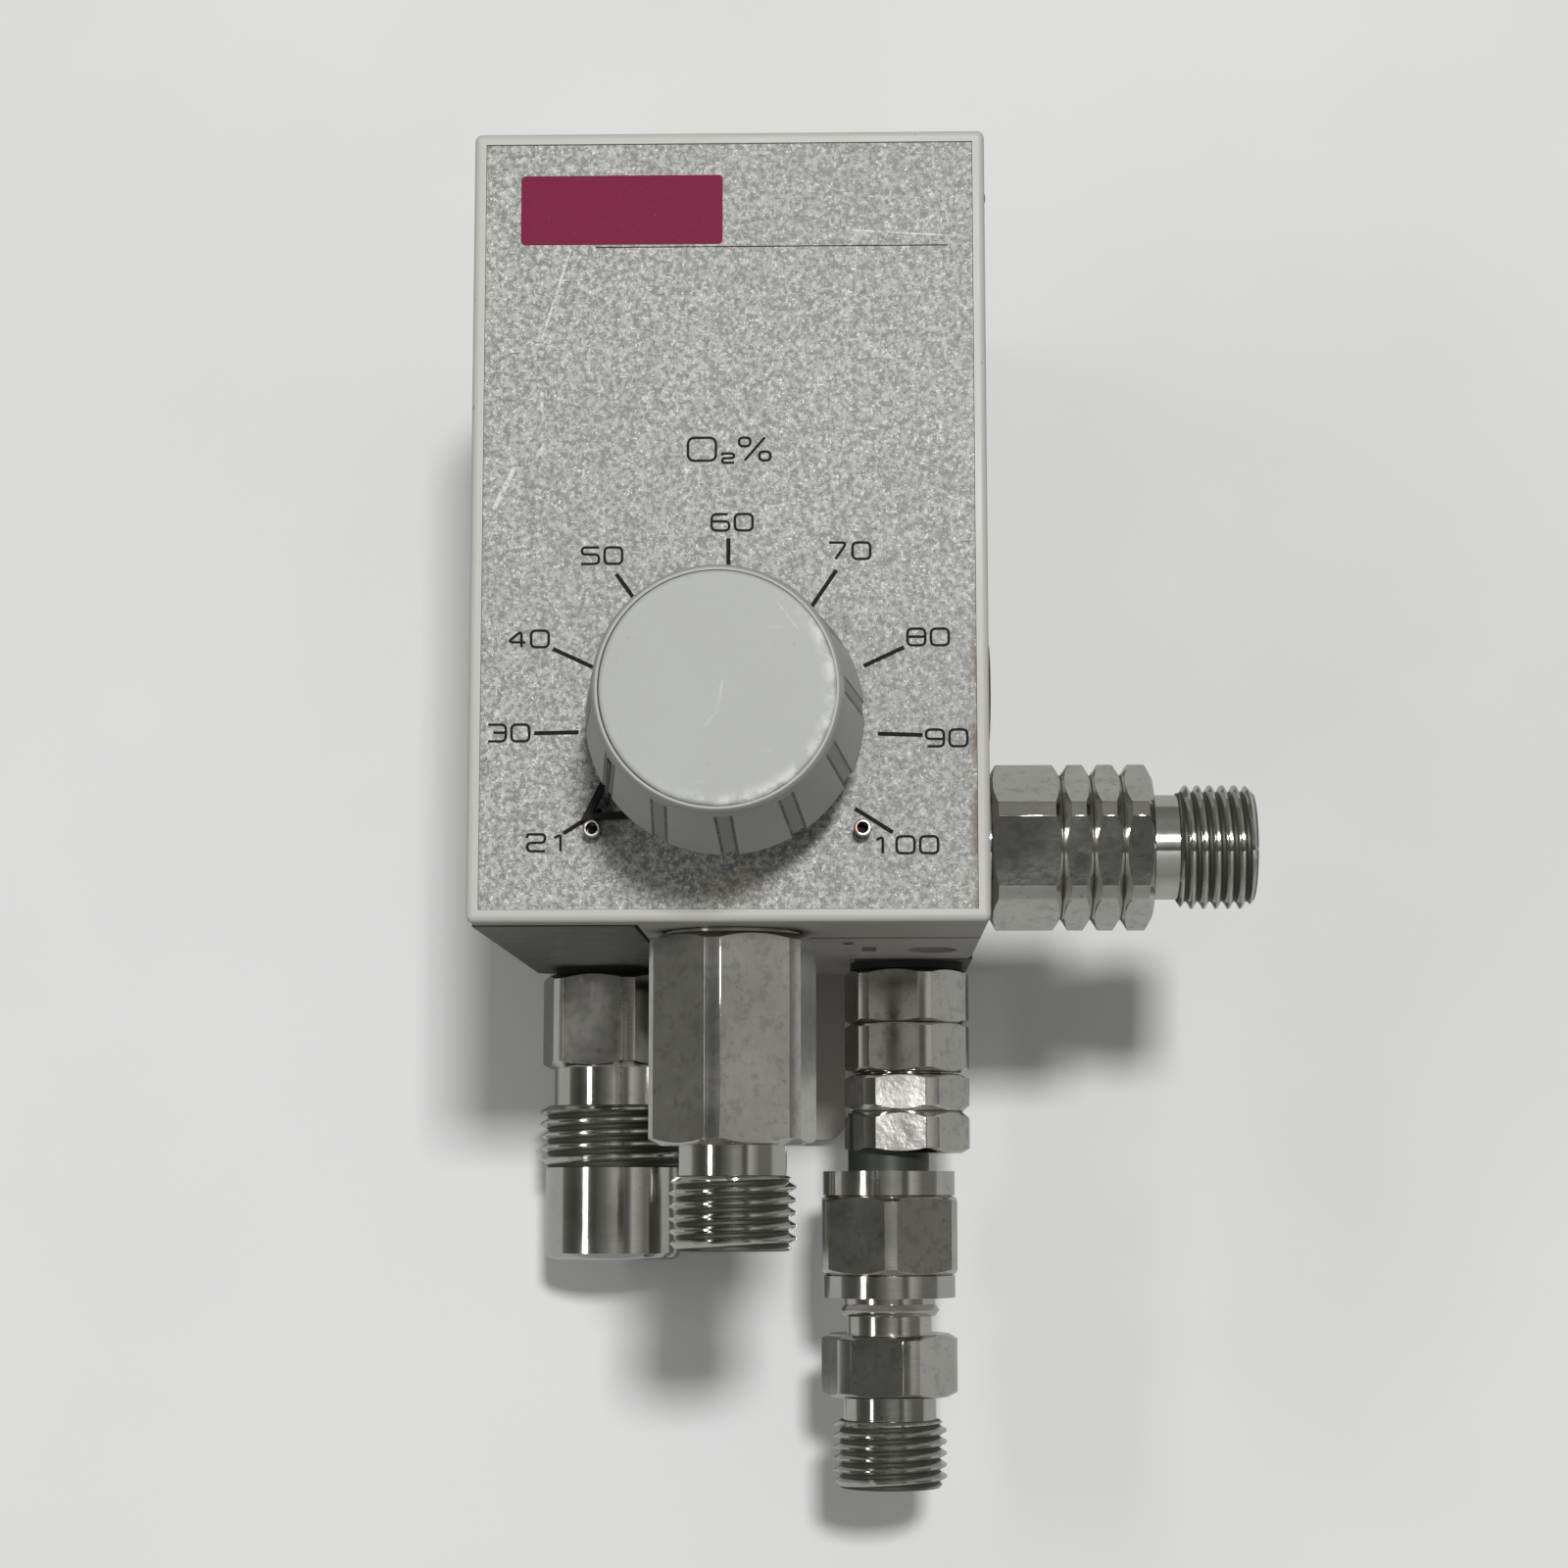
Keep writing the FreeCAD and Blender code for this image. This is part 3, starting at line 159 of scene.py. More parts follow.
class ColourSettings(bpy.types.PropertyGroup):
    """Colours of the finishes."""
    enamel: tint("Enamel", "Grey enamel of the castings", (0.4, 0.39, 0.355))
    label: tint("Label", "Silver grey of the label plate", (0.41, 0.413, 0.395))
    block: tint("Blocks", "Dark grey of the inlet blocks", (0.075, 0.074, 0.07))
    knob: tint("Knob", "Light grey plastic of the knob", (0.48, 0.49, 0.468))
    ink: tint("Ink", "Black print and pointer", (0.012, 0.012, 0.012))
    band: tint("Band", "Maroon band on the label", (0.23, 0.018, 0.065))
    nickel: tint("Nickel", "Nickel plate of the fittings", (0.66, 0.65, 0.615))
    sheet: tint("Sheet", "Pale sheet behind the object", (0.9, 0.905, 0.9))


class LightSettings(bpy.types.PropertyGroup):
    """Lamps and surroundings."""
    front_power: FloatProperty(name="Front lamp", description="Power of the lamp above the camera",
                               default=16.3, unit="POWER")
    side_power: FloatProperty(name="Side lamp", description="Power of the narrow lamp on the left",
                              default=1.1, unit="POWER")
    room_level: FloatProperty(name="Room", description="Strength of the surroundings",
                              default=0.86, min=0)


# Helpers for meshes

def from_points(points, closed=False):
    """Mesh with one chain of edges through the points."""
    bm = bmesh.new()
    verts = [bm.verts.new(point) for point in points]
    for pair in zip(verts, verts[1:]):
        bm.edges.new(pair)
    if closed:
        bm.edges.new((verts[-1], verts[0]))
    return bm


def spin(bm, steps, rise=0, merged=True):
    """Turns a chain of edges once about Z."""
    bmesh.ops.spin(bm, geom=bm.verts[:] + bm.edges[:], cent=(0, 0, 0), axis=(0, 0, 1), dvec=(0, 0, rise),
                   angle=FULL_TURN, steps=steps, use_merge=merged, use_duplicate=False)
    bmesh.ops.remove_doubles(bm, verts=bm.verts, dist=TURN_MERGE)


def cut_off(bm, place, normal):
    """Removes what lies beyond a plane and gives what the cut made."""
    made = bmesh.ops.bisect_plane(bm, geom=bm.verts[:] + bm.edges[:] + bm.faces[:], plane_co=place,
                                  plane_no=normal, clear_outer=True, dist=CUT_MERGE)
    return made["geom_cut"]


def turned_shell(profile, steps, closed=False):
    """Shape turned about Z from (radius, height) points."""
    bm = from_points([(radius, 0, height) for radius, height in profile], closed)
    spin(bm, steps)
    return bm


def hexagon_shell(flats, corner, low, high, turn, inner_low, inner_high, steps, grooves=()):
    """Turned blank cut to a hexagon; its ends stay open inside the inner radii."""
    end = HEX_END * flats
    rise = (corner - end) * HEX_SLOPE
    profile = [(inner_low, low), (end, low), (corner, low + rise)]
    for middle, width, root in grooves:
        profile += [(corner, middle - width / 2), (root, middle), (corner, middle + width / 2)]
    profile += [(corner, high - rise), (end, high), (inner_high, high)]
    bm = turned_shell(profile, steps)
    for index in range(6):
        angle = turn + math.radians(30 + 60 * index)
        normal = Vector((math.sin(angle), -math.cos(angle), 0))
        cut = cut_off(bm, normal * flats / 2, normal)
        bmesh.ops.edgeloop_fill(bm, edges=[item for item in cut if isinstance(item, bmesh.types.BMEdge)])
    return bm


def thread_shell(crest, pitch, depth_share, low, high, rim_low, rim_high, steps):
    """Helical V-thread between two heights, drawn in to plain rims at both ends."""
    root = crest - depth_share * pitch
    radii = {0: root, 0.5: (crest + root) / 2, 1: crest}
    profile = []
    for turn in range(math.ceil((high - low) / pitch) + 3):
        base = low + (turn - 1.5) * pitch
        profile += [(radii[stand], base + share * pitch) for share, stand in THREAD_FORM]
    bm = from_points([(radius, 0, height) for radius, height in profile])
    spin(bm, steps, pitch / steps, merged=False)
    for height, direction in ((low, -1), (high, 1)):
        cut_off(bm, (0, 0, height), (0, 0, direction))
    for vert in bm.verts:
        radius = math.hypot(vert.co.x, vert.co.y)
        allowed = root + min(vert.co.z - low, THREAD_FADE * (high - vert.co.z)) - THREAD_SINK
        if radius > allowed:
            vert.co.x *= allowed / radius
            vert.co.y *= allowed / radius
    bmesh.ops.remove_doubles(bm, verts=bm.verts, dist=TURN_MERGE)
    for height, rim in ((low, rim_low), (high, rim_high)):
        loop = [edge for edge in bm.edges if edge.is_boundary
                and all(abs(vert.co.z - height) < MESH_MERGE for vert in edge.verts)]
        bmesh.ops.create_circle(bm, cap_ends=False, radius=rim, segments=steps,
                                matrix=Matrix.Translation((0, 0, height)))
        loop += [edge for edge in bm.edges if edge.is_wire]
        bmesh.ops.bridge_loops(bm, edges=loop)
    for edge in bm.edges:
        edge.seam = True
    return bm


def take(bm, part):
    """Adds another mesh to this one."""
    mesh = bpy.data.meshes.new("part")
    part.to_mesh(mesh)
    part.free()
    bm.from_mesh(mesh)
    bpy.data.meshes.remove(mesh)


def joined(parts, name):
    """One closed mesh out of shells that share their rims."""
    bm = bmesh.new()
    for part in parts:
        take(bm, part)
    bmesh.ops.remove_doubles(bm, verts=bm.verts, dist=RIM_MERGE)
    open_edges = [edge for edge in bm.edges if len(edge.link_faces) != 2]
    if open_edges:
        raise RuntimeError(f"{name} isn't closed: {len(open_edges)} edges")
    bmesh.ops.recalc_face_normals(bm, faces=bm.faces)
    return bm


def edge_angle(edge):
    return edge.calc_face_angle(0) if len(edge.link_faces) == 2 else 0


def soften(bm, edges, offset, segments=2):
    """Rounds these edges."""
    bmesh.ops.bevel(bm, geom=edges, offset=offset, offset_type="OFFSET", segments=segments, profile=0.5,
                    affect="EDGES", clamp_overlap=True, material=-1)


def soften_plated(bm, edges):
    """Rounds a fitting: wide along the hexagon's corners and narrow everywhere else."""
    upright = [edge for edge in bm.edges if not edge.seam and edge_angle(edge) > CORNER_EDGE
               and abs((edge.verts[0].co - edge.verts[1].co).normalized().z) > 0.99
               and edge.calc_length() > CORNER_LENGTH]
    soften(bm, upright, edges.corner, 5)
    others = [edge for edge in bm.edges if not edge.seam and edge_angle(edge) > TURNED_EDGE]
    soften(bm, others, edges.plated)


def mark_recess_depth(bm, zones):
    """Stores how deep each point lies in a thread or groove, as (low, high, crest, root) zones."""
    layer = bm.verts.layers.float.new("recess_depth")
    for vert in bm.verts:
        radius = math.hypot(vert.co.x, vert.co.y)
        for low, high, crest, root in zones:
            if low <= vert.co.z <= high and radius > root - 1 * MM:
                vert[layer] = min(1, max(0, (crest - radius) / (crest - root)))


def mark_flats(bm):
    """Stores which faces are a hexagon's drawn flats, apart from what was turned."""
    layer = bm.faces.layers.float.new("drawn")
    for face in bm.faces:
        if abs(face.normal.z) < 0.1 and face.calc_area() > FLAT_AREA:
            face[layer] = 1


def dress(bm, name, material, body, nodes=()):
    """Turns a finished mesh into a piece that rides on a body."""
    for face in bm.faces:
        face.smooth = True
    for edge in bm.edges:
        edge.smooth = edge_angle(edge) < SHARP_EDGE
    mesh = bpy.data.meshes.new(name)
    bm.to_mesh(mesh)
    bm.free()
    mesh.materials.append(material)
    piece = bpy.data.objects.new(name, mesh)
    bpy.context.scene.collection.objects.link(piece)
    shading = piece.modifiers.new("even_shading", "WEIGHTED_NORMAL")
    shading.keep_sharp = True
    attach(piece, body)
    if nodes:
        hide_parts(*nodes)
    return piece


def dress_node(bm, node, suffix, finish):
    """Piece that takes the place of a node and is named after it."""
    return dress(bm, node + suffix, finish_for(finish), body_of(node), (node,))


def mesh_of(node):
    """Copy of a node's mesh with its faces joined up."""
    bm = bmesh.new()
    bm.from_mesh(frame["nodes"][node].data)
    bmesh.ops.remove_doubles(bm, verts=bm.verts, dist=MESH_MERGE)
    return bm


def soft_copy(node, offset, segments=2):
    """Copy of a node's mesh with flat faces merged and hard edges rounded."""
    bm = mesh_of(node)
    bmesh.ops.dissolve_limit(bm, angle_limit=FLAT_MERGE, verts=bm.verts[:], edges=bm.edges[:],
                             use_dissolve_boundaries=False)
    hard = [edge for edge in bm.edges if edge_angle(edge) > HARD_EDGE]
    soften(bm, hard, offset, segments)
    return bm


def body_of(node):
    return frame["nodes"][node]["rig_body"]


# Helpers for materials

class Wiring:
    """Nodes of one tree and the links between them."""

    def __init__(self, tree):
        self.tree = tree

    def node(self, kind, **settings):
        """New node; a setting that starts with a capital fills the input of that name."""
        node = self.tree.nodes.new("ShaderNode" + kind)
        for key, value in settings.items():
            if key[0].isupper():
                self.wire(value, node.inputs[key.replace("_", " ")])
            else:
                setattr(node, key, value)
        return node

    def wire(self, value, socket):
        """Links a socket, or sets a plain value."""
        if isinstance(value, bpy.types.NodeSocket):
            self.tree.links.new(value, socket)
        else:
            socket.default_value = value

    def math(self, operation, first, second=0.0):
        node = self.node("Math", operation=operation)
        self.wire(first, node.inputs[0])
        self.wire(second, node.inputs[1])
        return node.outputs[0]

    def times(self, first, second):
        return self.math("MULTIPLY", first, second)

    def axes(self, place):
        split = self.node("SeparateXYZ", Vector=place)
        return split.outputs["X"], split.outputs["Y"], split.outputs["Z"]

    def mix(self, share, first, second):
        """Colour between two colours."""
        node = self.node("Mix", data_type="RGBA")
        self.wire(share, node.inputs[0])
        for colour, socket in ((first, node.inputs[6]), (second, node.inputs[7])):
            self.wire((*colour, 1) if isinstance(colour, tuple) else colour, socket)
        return node.outputs[2]


class Finish(Wiring):
    """One material."""

    def __init__(self, name):
        self.material = bpy.data.materials.new(name)
        self.material.use_nodes = True
        super().__init__(self.material.node_tree)
        self.shader = self.tree.nodes["Principled BSDF"]
        self.place = self.node("TexCoord").outputs["Object"]

    def set(self, **values):
        """Fills the shader's own sockets, named with underscores for spaces."""
        for key, value in values.items():
            self.wire(value, self.shader.inputs[key.replace("_", " ")])

    def vector(self, operation, first, second=(0, 0, 0)):
        node = self.node("VectorMath", operation=operation)
        self.wire(first, node.inputs[0])
        self.wire(second, node.inputs["Scale" if operation == "SCALE" else 1])
        return node.outputs["Value" if operation in ("LENGTH", "DOT_PRODUCT") else "Vector"]

    def noise(self, scale, detail=2.0, roughness=0.5, stretch=(1, 1, 1), seed=0.0):
        """Noise over the object's own place; scale is in waves for each metre."""
        mapping = self.node("Mapping", Vector=self.place, Scale=stretch, Location=(seed, seed, seed))
        node = self.node("TexNoise", Vector=mapping.outputs[0], Scale=scale, Detail=detail,
                         Roughness=roughness)
        return node.outputs["Fac"]

    def step(self, value, low, high, start=0.0, end=1.0):
        """Smooth step from start at low to end at high."""
        node = self.node("MapRange", interpolation_type="SMOOTHSTEP", Value=value, From_Min=low,
                         From_Max=high, To_Min=start, To_Max=end)
        return node.outputs["Result"]

    def laid(self, colour, mask, strength, other):
        """Colour with another laid over it where the mask is, as strong as told."""
        return self.mix(self.times(mask, strength), colour, other)

    def varied(self, tone, first, second):
        """Colour that goes from the first to the second with a noise."""
        return self.mix(self.step(tone, 0.3, 0.7), first, second)

    def bump(self, height, distance, strength=0.5, normal=None):
        """Relief, with its distance in millimetres."""
        node = self.node("Bump", Height=height, Distance=distance * MM, Strength=strength)
        if normal is not None:
            self.wire(normal, node.inputs["Normal"])
        return node.outputs["Normal"]

    def reach(self, across, up):
        """Distance from an axis, from two level measures."""
        return self.math("SQRT", self.math("ADD", self.times(across, across), self.times(up, up)))

    def stroke(self, start, end, width, soft, face):
        """Mask of a straight scratch between two (x, z) places in millimetres, on a level face."""
        first = Vector((start[0] * MM, face, start[1] * MM))
        run = Vector((end[0] * MM, face, end[1] * MM)) - first
        offset = self.vector("SUBTRACT", self.place, tuple(first))
        along = self.math("DIVIDE", self.vector("DOT_PRODUCT", offset, tuple(run)), run.length_squared)
        along = self.math("MINIMUM", self.math("MAXIMUM", along, 0.0), 1.0)
        gap = self.vector("LENGTH", self.vector("SUBTRACT", offset, self.vector("SCALE", tuple(run), along)))
        return self.step(gap, width / 2, width * soft, 1.0, 0.0)

    def strokes(self, lines, soft=2.0, face=LABEL_FACE):
        """Mask of scratches, each given as (start, end, width) in millimetres."""
        masks = [self.stroke(start, end, width * MM, soft, face) for start, end, width in lines]
        return functools.reduce(lambda first, second: self.math("MAXIMUM", first, second), masks)


def shade(colour, factor):
    return tuple(channel * factor for channel in colour)


def enamel(colours):
    """Grey enamel with orange peel, a painted highlight along its front rim and dark specks of dirt."""
    finish = Finish("grey_enamel")
    base = tuple(colours.enamel)
    patches = finish.noise(45, 3)
    colour = finish.varied(patches, shade(base, 0.88), shade(base, 1.06))
    depth = finish.axes(finish.place)[1]
    # Painted highlight: the castings' front rim, which faces the lamp, is painted pale while the sides keep
    # the grey
    rim = finish.step(depth, LABEL_FACE - 0.05 * MM, LABEL_FACE + 0.9 * MM, 1.0, 0.0)
    colour = finish.laid(colour, rim, 0.9, (0.6, 0.595, 0.565))
    specks = finish.step(finish.noise(900, 4, 0.7), 0.66, 0.74)
    colour = finish.laid(colour, specks, 0.5, shade(base, 0.35))
    finish.set(Base_Color=colour, Roughness=finish.step(patches, 0.2, 0.8, 0.38, 0.52))
    finish.set(Normal=finish.bump(finish.noise(1100), 0.02))
    return finish.material


# Scratches in millimetres: the (x, z) of both ends, then the width
LABEL_SCRATCHES = (((-16.7, 34.3), (-20.8, 20.8), 0.1), ((-20.8, 14.7), (-20.7, 11.9), 0.14),
                   ((-20.5, 8.5), (-21.3, 7.4), 0.14), ((-23.8, 6.0), (-25.9, 1.6), 0.2),
                   ((13.3, 33.0), (24.7, 32.3), 0.08))
LABEL_PATCH = (((-1.5, -40.6), (2.4, -40.2), 1.0),)
CAP_SCRATCHES = (((0.6, -22.5), (0.1, -25.6), 0.1), ((0.1, -25.6), (-1.2, -27.2), 0.06),
                 ((6.0, -14.5), (8.2, -17.4), 0.06))


def label_film(colours):
    """Silver film with a fine metallic speckle, scratches and a stained edge."""
    finish = Finish("label_film")
    base = tuple(colours.label)
    grain = finish.noise(1400, 3, 0.8)
    fleck = finish.noise(2500, 3, 0.85, seed=0.3)
    colour = finish.mix(finish.step(grain, 0.38, 0.62), shade(base, 0.56), shade(base, 1.38))
    colour = finish.mix(finish.step(fleck, 0.56, 0.64), colour, (0.88, 0.89, 0.87))
    colour = finish.mix(finish.step(fleck, 0.43, 0.36), colour, shade(base, 0.4))
    broad = finish.noise(26, 3, seed=0.1)
    colour = finish.mix(finish.step(broad, 0.3, 0.75, 0.0, 0.16), colour, shade(base, 0.72))
    side, _, height = finish.axes(finish.place)
    edge = finish.step(side, LABEL_HIGH.x - 1.1 * MM, LABEL_HIGH.x)
    low_part = finish.step(height, -10 * MM, -16 * MM)
    stain = finish.times(finish.times(edge, low_part),
                        finish.step(finish.noise(420, 3), 0.35, 0.6))
    colour = finish.laid(colour, stain, 0.8, (0.16, 0.1, 0.045))
    colour = finish.laid(colour, finish.strokes(LABEL_PATCH, 2.4), 0.25, (0.42, 0.33, 0.16))
    ragged = finish.step(finish.noise(1500, 3, 0.7, seed=0.7), 0.4, 0.56)
    scratches = finish.times(finish.strokes(LABEL_SCRATCHES), ragged)
    colour = finish.laid(colour, scratches, 0.8, (0.83, 0.83, 0.82))
    finish.set(Base_Color=colour, Metallic=0.1,
               Roughness=finish.step(grain, 0.3, 0.7, 0.5, 0.68))
    finish.set(Normal=finish.bump(grain, 0.03, 0.7))
    return finish.material


def block_coat(colours):
    """Dark coat of the inlet blocks, rubbed in places."""
    finish = Finish("dark_block_coat")
    base = tuple(colours.block)
    rub = finish.noise(160, 5, 0.65)
    colour = finish.mix(finish.step(rub, 0.35, 0.7), shade(base, 0.75), shade(base, 1.5))
    finish.set(Base_Color=colour, Roughness=finish.step(rub, 0.3, 0.7, 0.32, 0.55))
    finish.set(Normal=finish.bump(finish.noise(1500, 3), 0.015))
    return finish.material


def round_dial(finish):
    """Distance from the dial's axis, and the turn from straight up, to the right."""
    side, _, height = finish.axes(finish.place)
    up = finish.math("SUBTRACT", height, DIAL_CENTRE.z)
    return finish.reach(side, up), finish.math("ARCTAN2", side, up)


def moulded_grey(finish, base):
    """Light grey plastic with handling marks; gives its colour."""
    tone = finish.noise(70, 4, 0.6)
    colour = finish.varied(tone, shade(base, 0.93), shade(base, 1.05))
    marks = finish.step(finish.noise(260, 5, 0.75, stretch=(1, 1, 5), seed=0.2), 0.6, 0.72)
    colour = finish.laid(colour, marks, 0.3, (0.66, 0.67, 0.65))
    dirt = finish.step(finish.noise(1300, 3, 0.7, seed=0.5), 0.68, 0.76)
    finish.set(Roughness=finish.step(tone, 0.3, 0.7, 0.48, 0.6))
    finish.set(Normal=finish.bump(finish.noise(2400), 0.012))
    return finish.laid(colour, dirt, 0.4, shade(base, 0.45))


def knob_side(colours):
    """Plastic of the knob, with painted shade and dirt along the edges of its flutes, painted shade on their
    floors and a painted shadow round its foot.
    """
    finish = Finish("knob_grey")
    base = tuple(colours.knob)
    colour = moulded_grey(finish, base)
    reach, turn = round_dial(finish)
    share = finish.math("DIVIDE", finish.math("SUBTRACT", turn, POINTER_TURN), FULL_TURN / FLUTES)
    share = finish.math("SUBTRACT", finish.math("FRACT", finish.math("ADD", share, 0.5)), 0.5)
    offset = finish.times(finish.math("ABSOLUTE", share), FULL_TURN / FLUTES)
    offset = finish.times(offset, reach)
    gap = finish.math("ABSOLUTE", finish.math("SUBTRACT", offset, FLUTE_WIDTH / 2))
    # Painted shade and dirt: a dark line along each edge of every flute
    line = finish.step(gap, 0.1 * MM, 0.24 * MM, 1.0, 0.0)
    # Painted shade: the flute floors are painted darker
    floor = finish.step(offset, FLUTE_WIDTH / 2 - 0.1 * MM, FLUTE_WIDTH / 2, 1.0, 0.0)
    depth = finish.axes(finish.place)[1]
    below = finish.step(depth, CAP_LOW.y + 1.6 * MM, CAP_LOW.y + 2.2 * MM)
    outside = finish.times(below, finish.step(reach, 12.3 * MM, 12.5 * MM))
    line = finish.times(line, finish.step(finish.noise(500, 3, seed=0.9), 0.25, 0.5, 0.55, 0.95))
    colour = finish.mix(finish.times(floor, finish.times(outside, 0.8)), colour,
                        shade(base, 0.6))
    colour = finish.laid(colour, line, outside, shade(base, 0.16))
    # Painted shadow: a near black band round the knob's foot, where it stands over the label
    foot_shadow = finish.step(depth, LABEL_FACE - 9.5 * MM, LABEL_FACE - 9.1 * MM)
    finish.set(Base_Color=finish.laid(colour, foot_shadow, 0.85, shade(base, 0.1)))
    return finish.material


def cap_face(colours):
    """Plastic of the cap, rubbed bright and given a painted highlight along its lower right edge, and
    lightly scratched.
    """
    finish = Finish("cap_grey")
    colour = moulded_grey(finish, shade(tuple(colours.knob), 1.02))
    reach, turn = round_dial(finish)
    # Rubbed wear and painted highlight: the rim is painted pale on its lower right side only
    aside = finish.math("COSINE", finish.math("SUBTRACT", turn, math.radians(125)))
    rim = finish.step(reach, 10.3 * MM, 11.9 * MM)
    worn = finish.times(rim, finish.step(aside, -0.1, 0.6))
    worn = finish.times(worn, finish.step(finish.noise(380, 4, 0.7, seed=0.6), 0.42, 0.6))
    colour = finish.laid(colour, worn, 0.8, (0.8, 0.81, 0.79))
    scuffs = finish.strokes(CAP_SCRATCHES, 2.5, CAP_LOW.y)
    scuffs = finish.times(scuffs, finish.step(finish.noise(1400, 3, 0.7), 0.42, 0.58))
    finish.set(Base_Color=finish.laid(colour, scuffs, 0.4, (0.74, 0.75, 0.73)))
    return finish.material


def black_plastic(colours):
    finish = Finish("black_plastic")
    wear = finish.noise(500, 4, 0.7)
    colour = finish.mix(finish.step(wear, 0.5, 0.75), tuple(colours.ink), (0.035, 0.035, 0.034))
    finish.set(Base_Color=colour, Roughness=finish.step(wear, 0.3, 0.7, 0.4, 0.55))
    finish.set(Normal=finish.bump(wear, 0.01))
    finish.set(Specular_IOR_Level=0.25)
    return finish.material


def plain_coat(name, scale, detail, dark, pale, smooth, rough, relief=0):
    """One colour that varies a little; the relief is in millimetres."""
    finish = Finish(name)
    tone = finish.noise(scale, detail)
    finish.set(Base_Color=finish.varied(tone, dark, pale),
               Roughness=finish.step(tone, 0.3, 0.7, smooth, rough))
    if relief:
        finish.set(Normal=finish.bump(tone, relief))
    return finish.material


def ink(name, colour):
    """Screen print with pinholes and rubbed spots."""
    finish = Finish(name)
    worn = finish.step(finish.noise(2600, 4, 0.75), 0.62, 0.74)
    shown = finish.laid(tuple(colour), worn, 0.35, (0.3, 0.3, 0.29))
    finish.set(Base_Color=shown, Roughness=finish.step(worn, 0, 1, 0.65, 0.8))
    finish.set(Specular_IOR_Level=0.15)
    return finish.material


def nickel(colours, name, across, flats_rough, flats_wave):
    """Bright nickel: turning marks across the axis, duller drawn flats, pits and dark thread roots."""
    finish = Finish(name)
    base = tuple(colours.nickel)
    clouds = finish.noise(120, 4, 0.6)
    flecks = finish.noise(1400, 3, 0.65, seed=0.4)
    colour = finish.mix(finish.step(clouds, 0.35, 0.7), shade(base, 0.92), shade(base, 1.04))
    pits = finish.step(flecks, 0.66, 0.74)
    colour = finish.laid(colour, pits, 0.6, (0.14, 0.115, 0.08))
    recess_depth = finish.node("Attribute", attribute_name="recess_depth").outputs["Fac"]
    drawn = finish.node("Attribute", attribute_name="drawn").outputs["Fac"]
    stains = finish.step(finish.noise(600, 5, 0.75, seed=0.15), 0.38, 0.5, 0.45, 0.0)
    stains = finish.times(stains, finish.step(drawn, 0, 1, 0.25, 1.0))
    colour = finish.mix(stains, colour, shade(base, 0.55))
    # Thread roots and grooves are darkened by how deep they lie
    recess_dark = finish.step(finish.math("ADD", recess_depth, finish.times(clouds, 0.3)), 0.8, 1.15)
    colour = finish.mix(recess_dark, colour, (0.045, 0.052, 0.04))
    finish.set(Base_Color=colour, Metallic=finish.step(recess_dark, 0.2, 1, 1.0, 0.35))
    rough = finish.step(clouds, 0.3, 0.7, 0.07, 0.14)
    dull = finish.step(clouds, 0.3, 0.7, flats_rough * 0.85, flats_rough * 1.15)
    rough = finish.math("MAXIMUM", rough, finish.times(drawn, dull))
    finish.set(Roughness=finish.math("ADD", rough, finish.times(recess_dark, 0.35)))
    turned = finish.times(finish.noise(1, 2, 0.5, stretch=across), finish.step(drawn, 0, 1, 1.0, 0.25))
    dents = finish.noise(420, 3, 0.6, seed=0.8)
    dents = finish.times(dents, finish.step(drawn, 0, 1, 0.3, 1.0))
    waves = finish.bump(dents, flats_wave, 0.8)
    finish.set(Normal=finish.bump(turned, 0.006, 1.0, waves))
    return finish.material


# How turning marks are stretched on a fitting that stands upright, and on one that lies along X
MARKS_UPRIGHT = (150, 150, 9000)
MARKS_LEVEL = (9000, 150, 150)


def plain_metal(name, colour, roughness):
    """Turned metal for pieces inside the body."""
    finish = Finish(name)
    tone = finish.noise(400, 4)
    finish.set(Base_Color=finish.varied(tone, shade(colour, 0.85), colour), Metallic=1.0,
               Roughness=finish.step(tone, 0.3, 0.7, roughness * 0.8, roughness * 1.3))
    finish.set(Normal=finish.bump(finish.noise(2500), 0.006))
    return finish.material


def pin_steel():
    """Steel of the hollow stop pins: painted shade, near black and matt, inside the bore, and browned on the
    side.
    """
    finish = Finish("pin_steel")
    low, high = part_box("stop_pins")
    radius = (high.z - low.z) / 2
    side, _, height = finish.axes(finish.place)
    across = finish.math("SUBTRACT", finish.math("ABSOLUTE", side), high.x - radius)
    reach = finish.reach(across, finish.math("SUBTRACT", height, (low.z + high.z) / 2))
    tone = finish.noise(900, 4)
    colour = finish.mix(finish.step(tone, 0.42, 0.6), (0.55, 0.53, 0.5), (0.17, 0.12, 0.1))
    # Painted shade: the bore is painted near black
    inside = finish.step(reach, radius * 0.5, radius * 0.66, 1.0, 0.0)
    finish.set(Base_Color=finish.mix(inside, colour, (0.006, 0.006, 0.006)),
               Metallic=finish.math("SUBTRACT", 1.0, inside), Roughness=finish.step(inside, 0, 1, 0.3, 0.8))
    finish.set(Normal=finish.bump(tone, 0.01))
    return finish.material


# The sheet's darker tone painted into its reflections, and the even glow that it gives off for diffuse rays,
# also on to the object's back
SHEET_MIRRORED = 0.6
SHEET_GLOW = 0.24


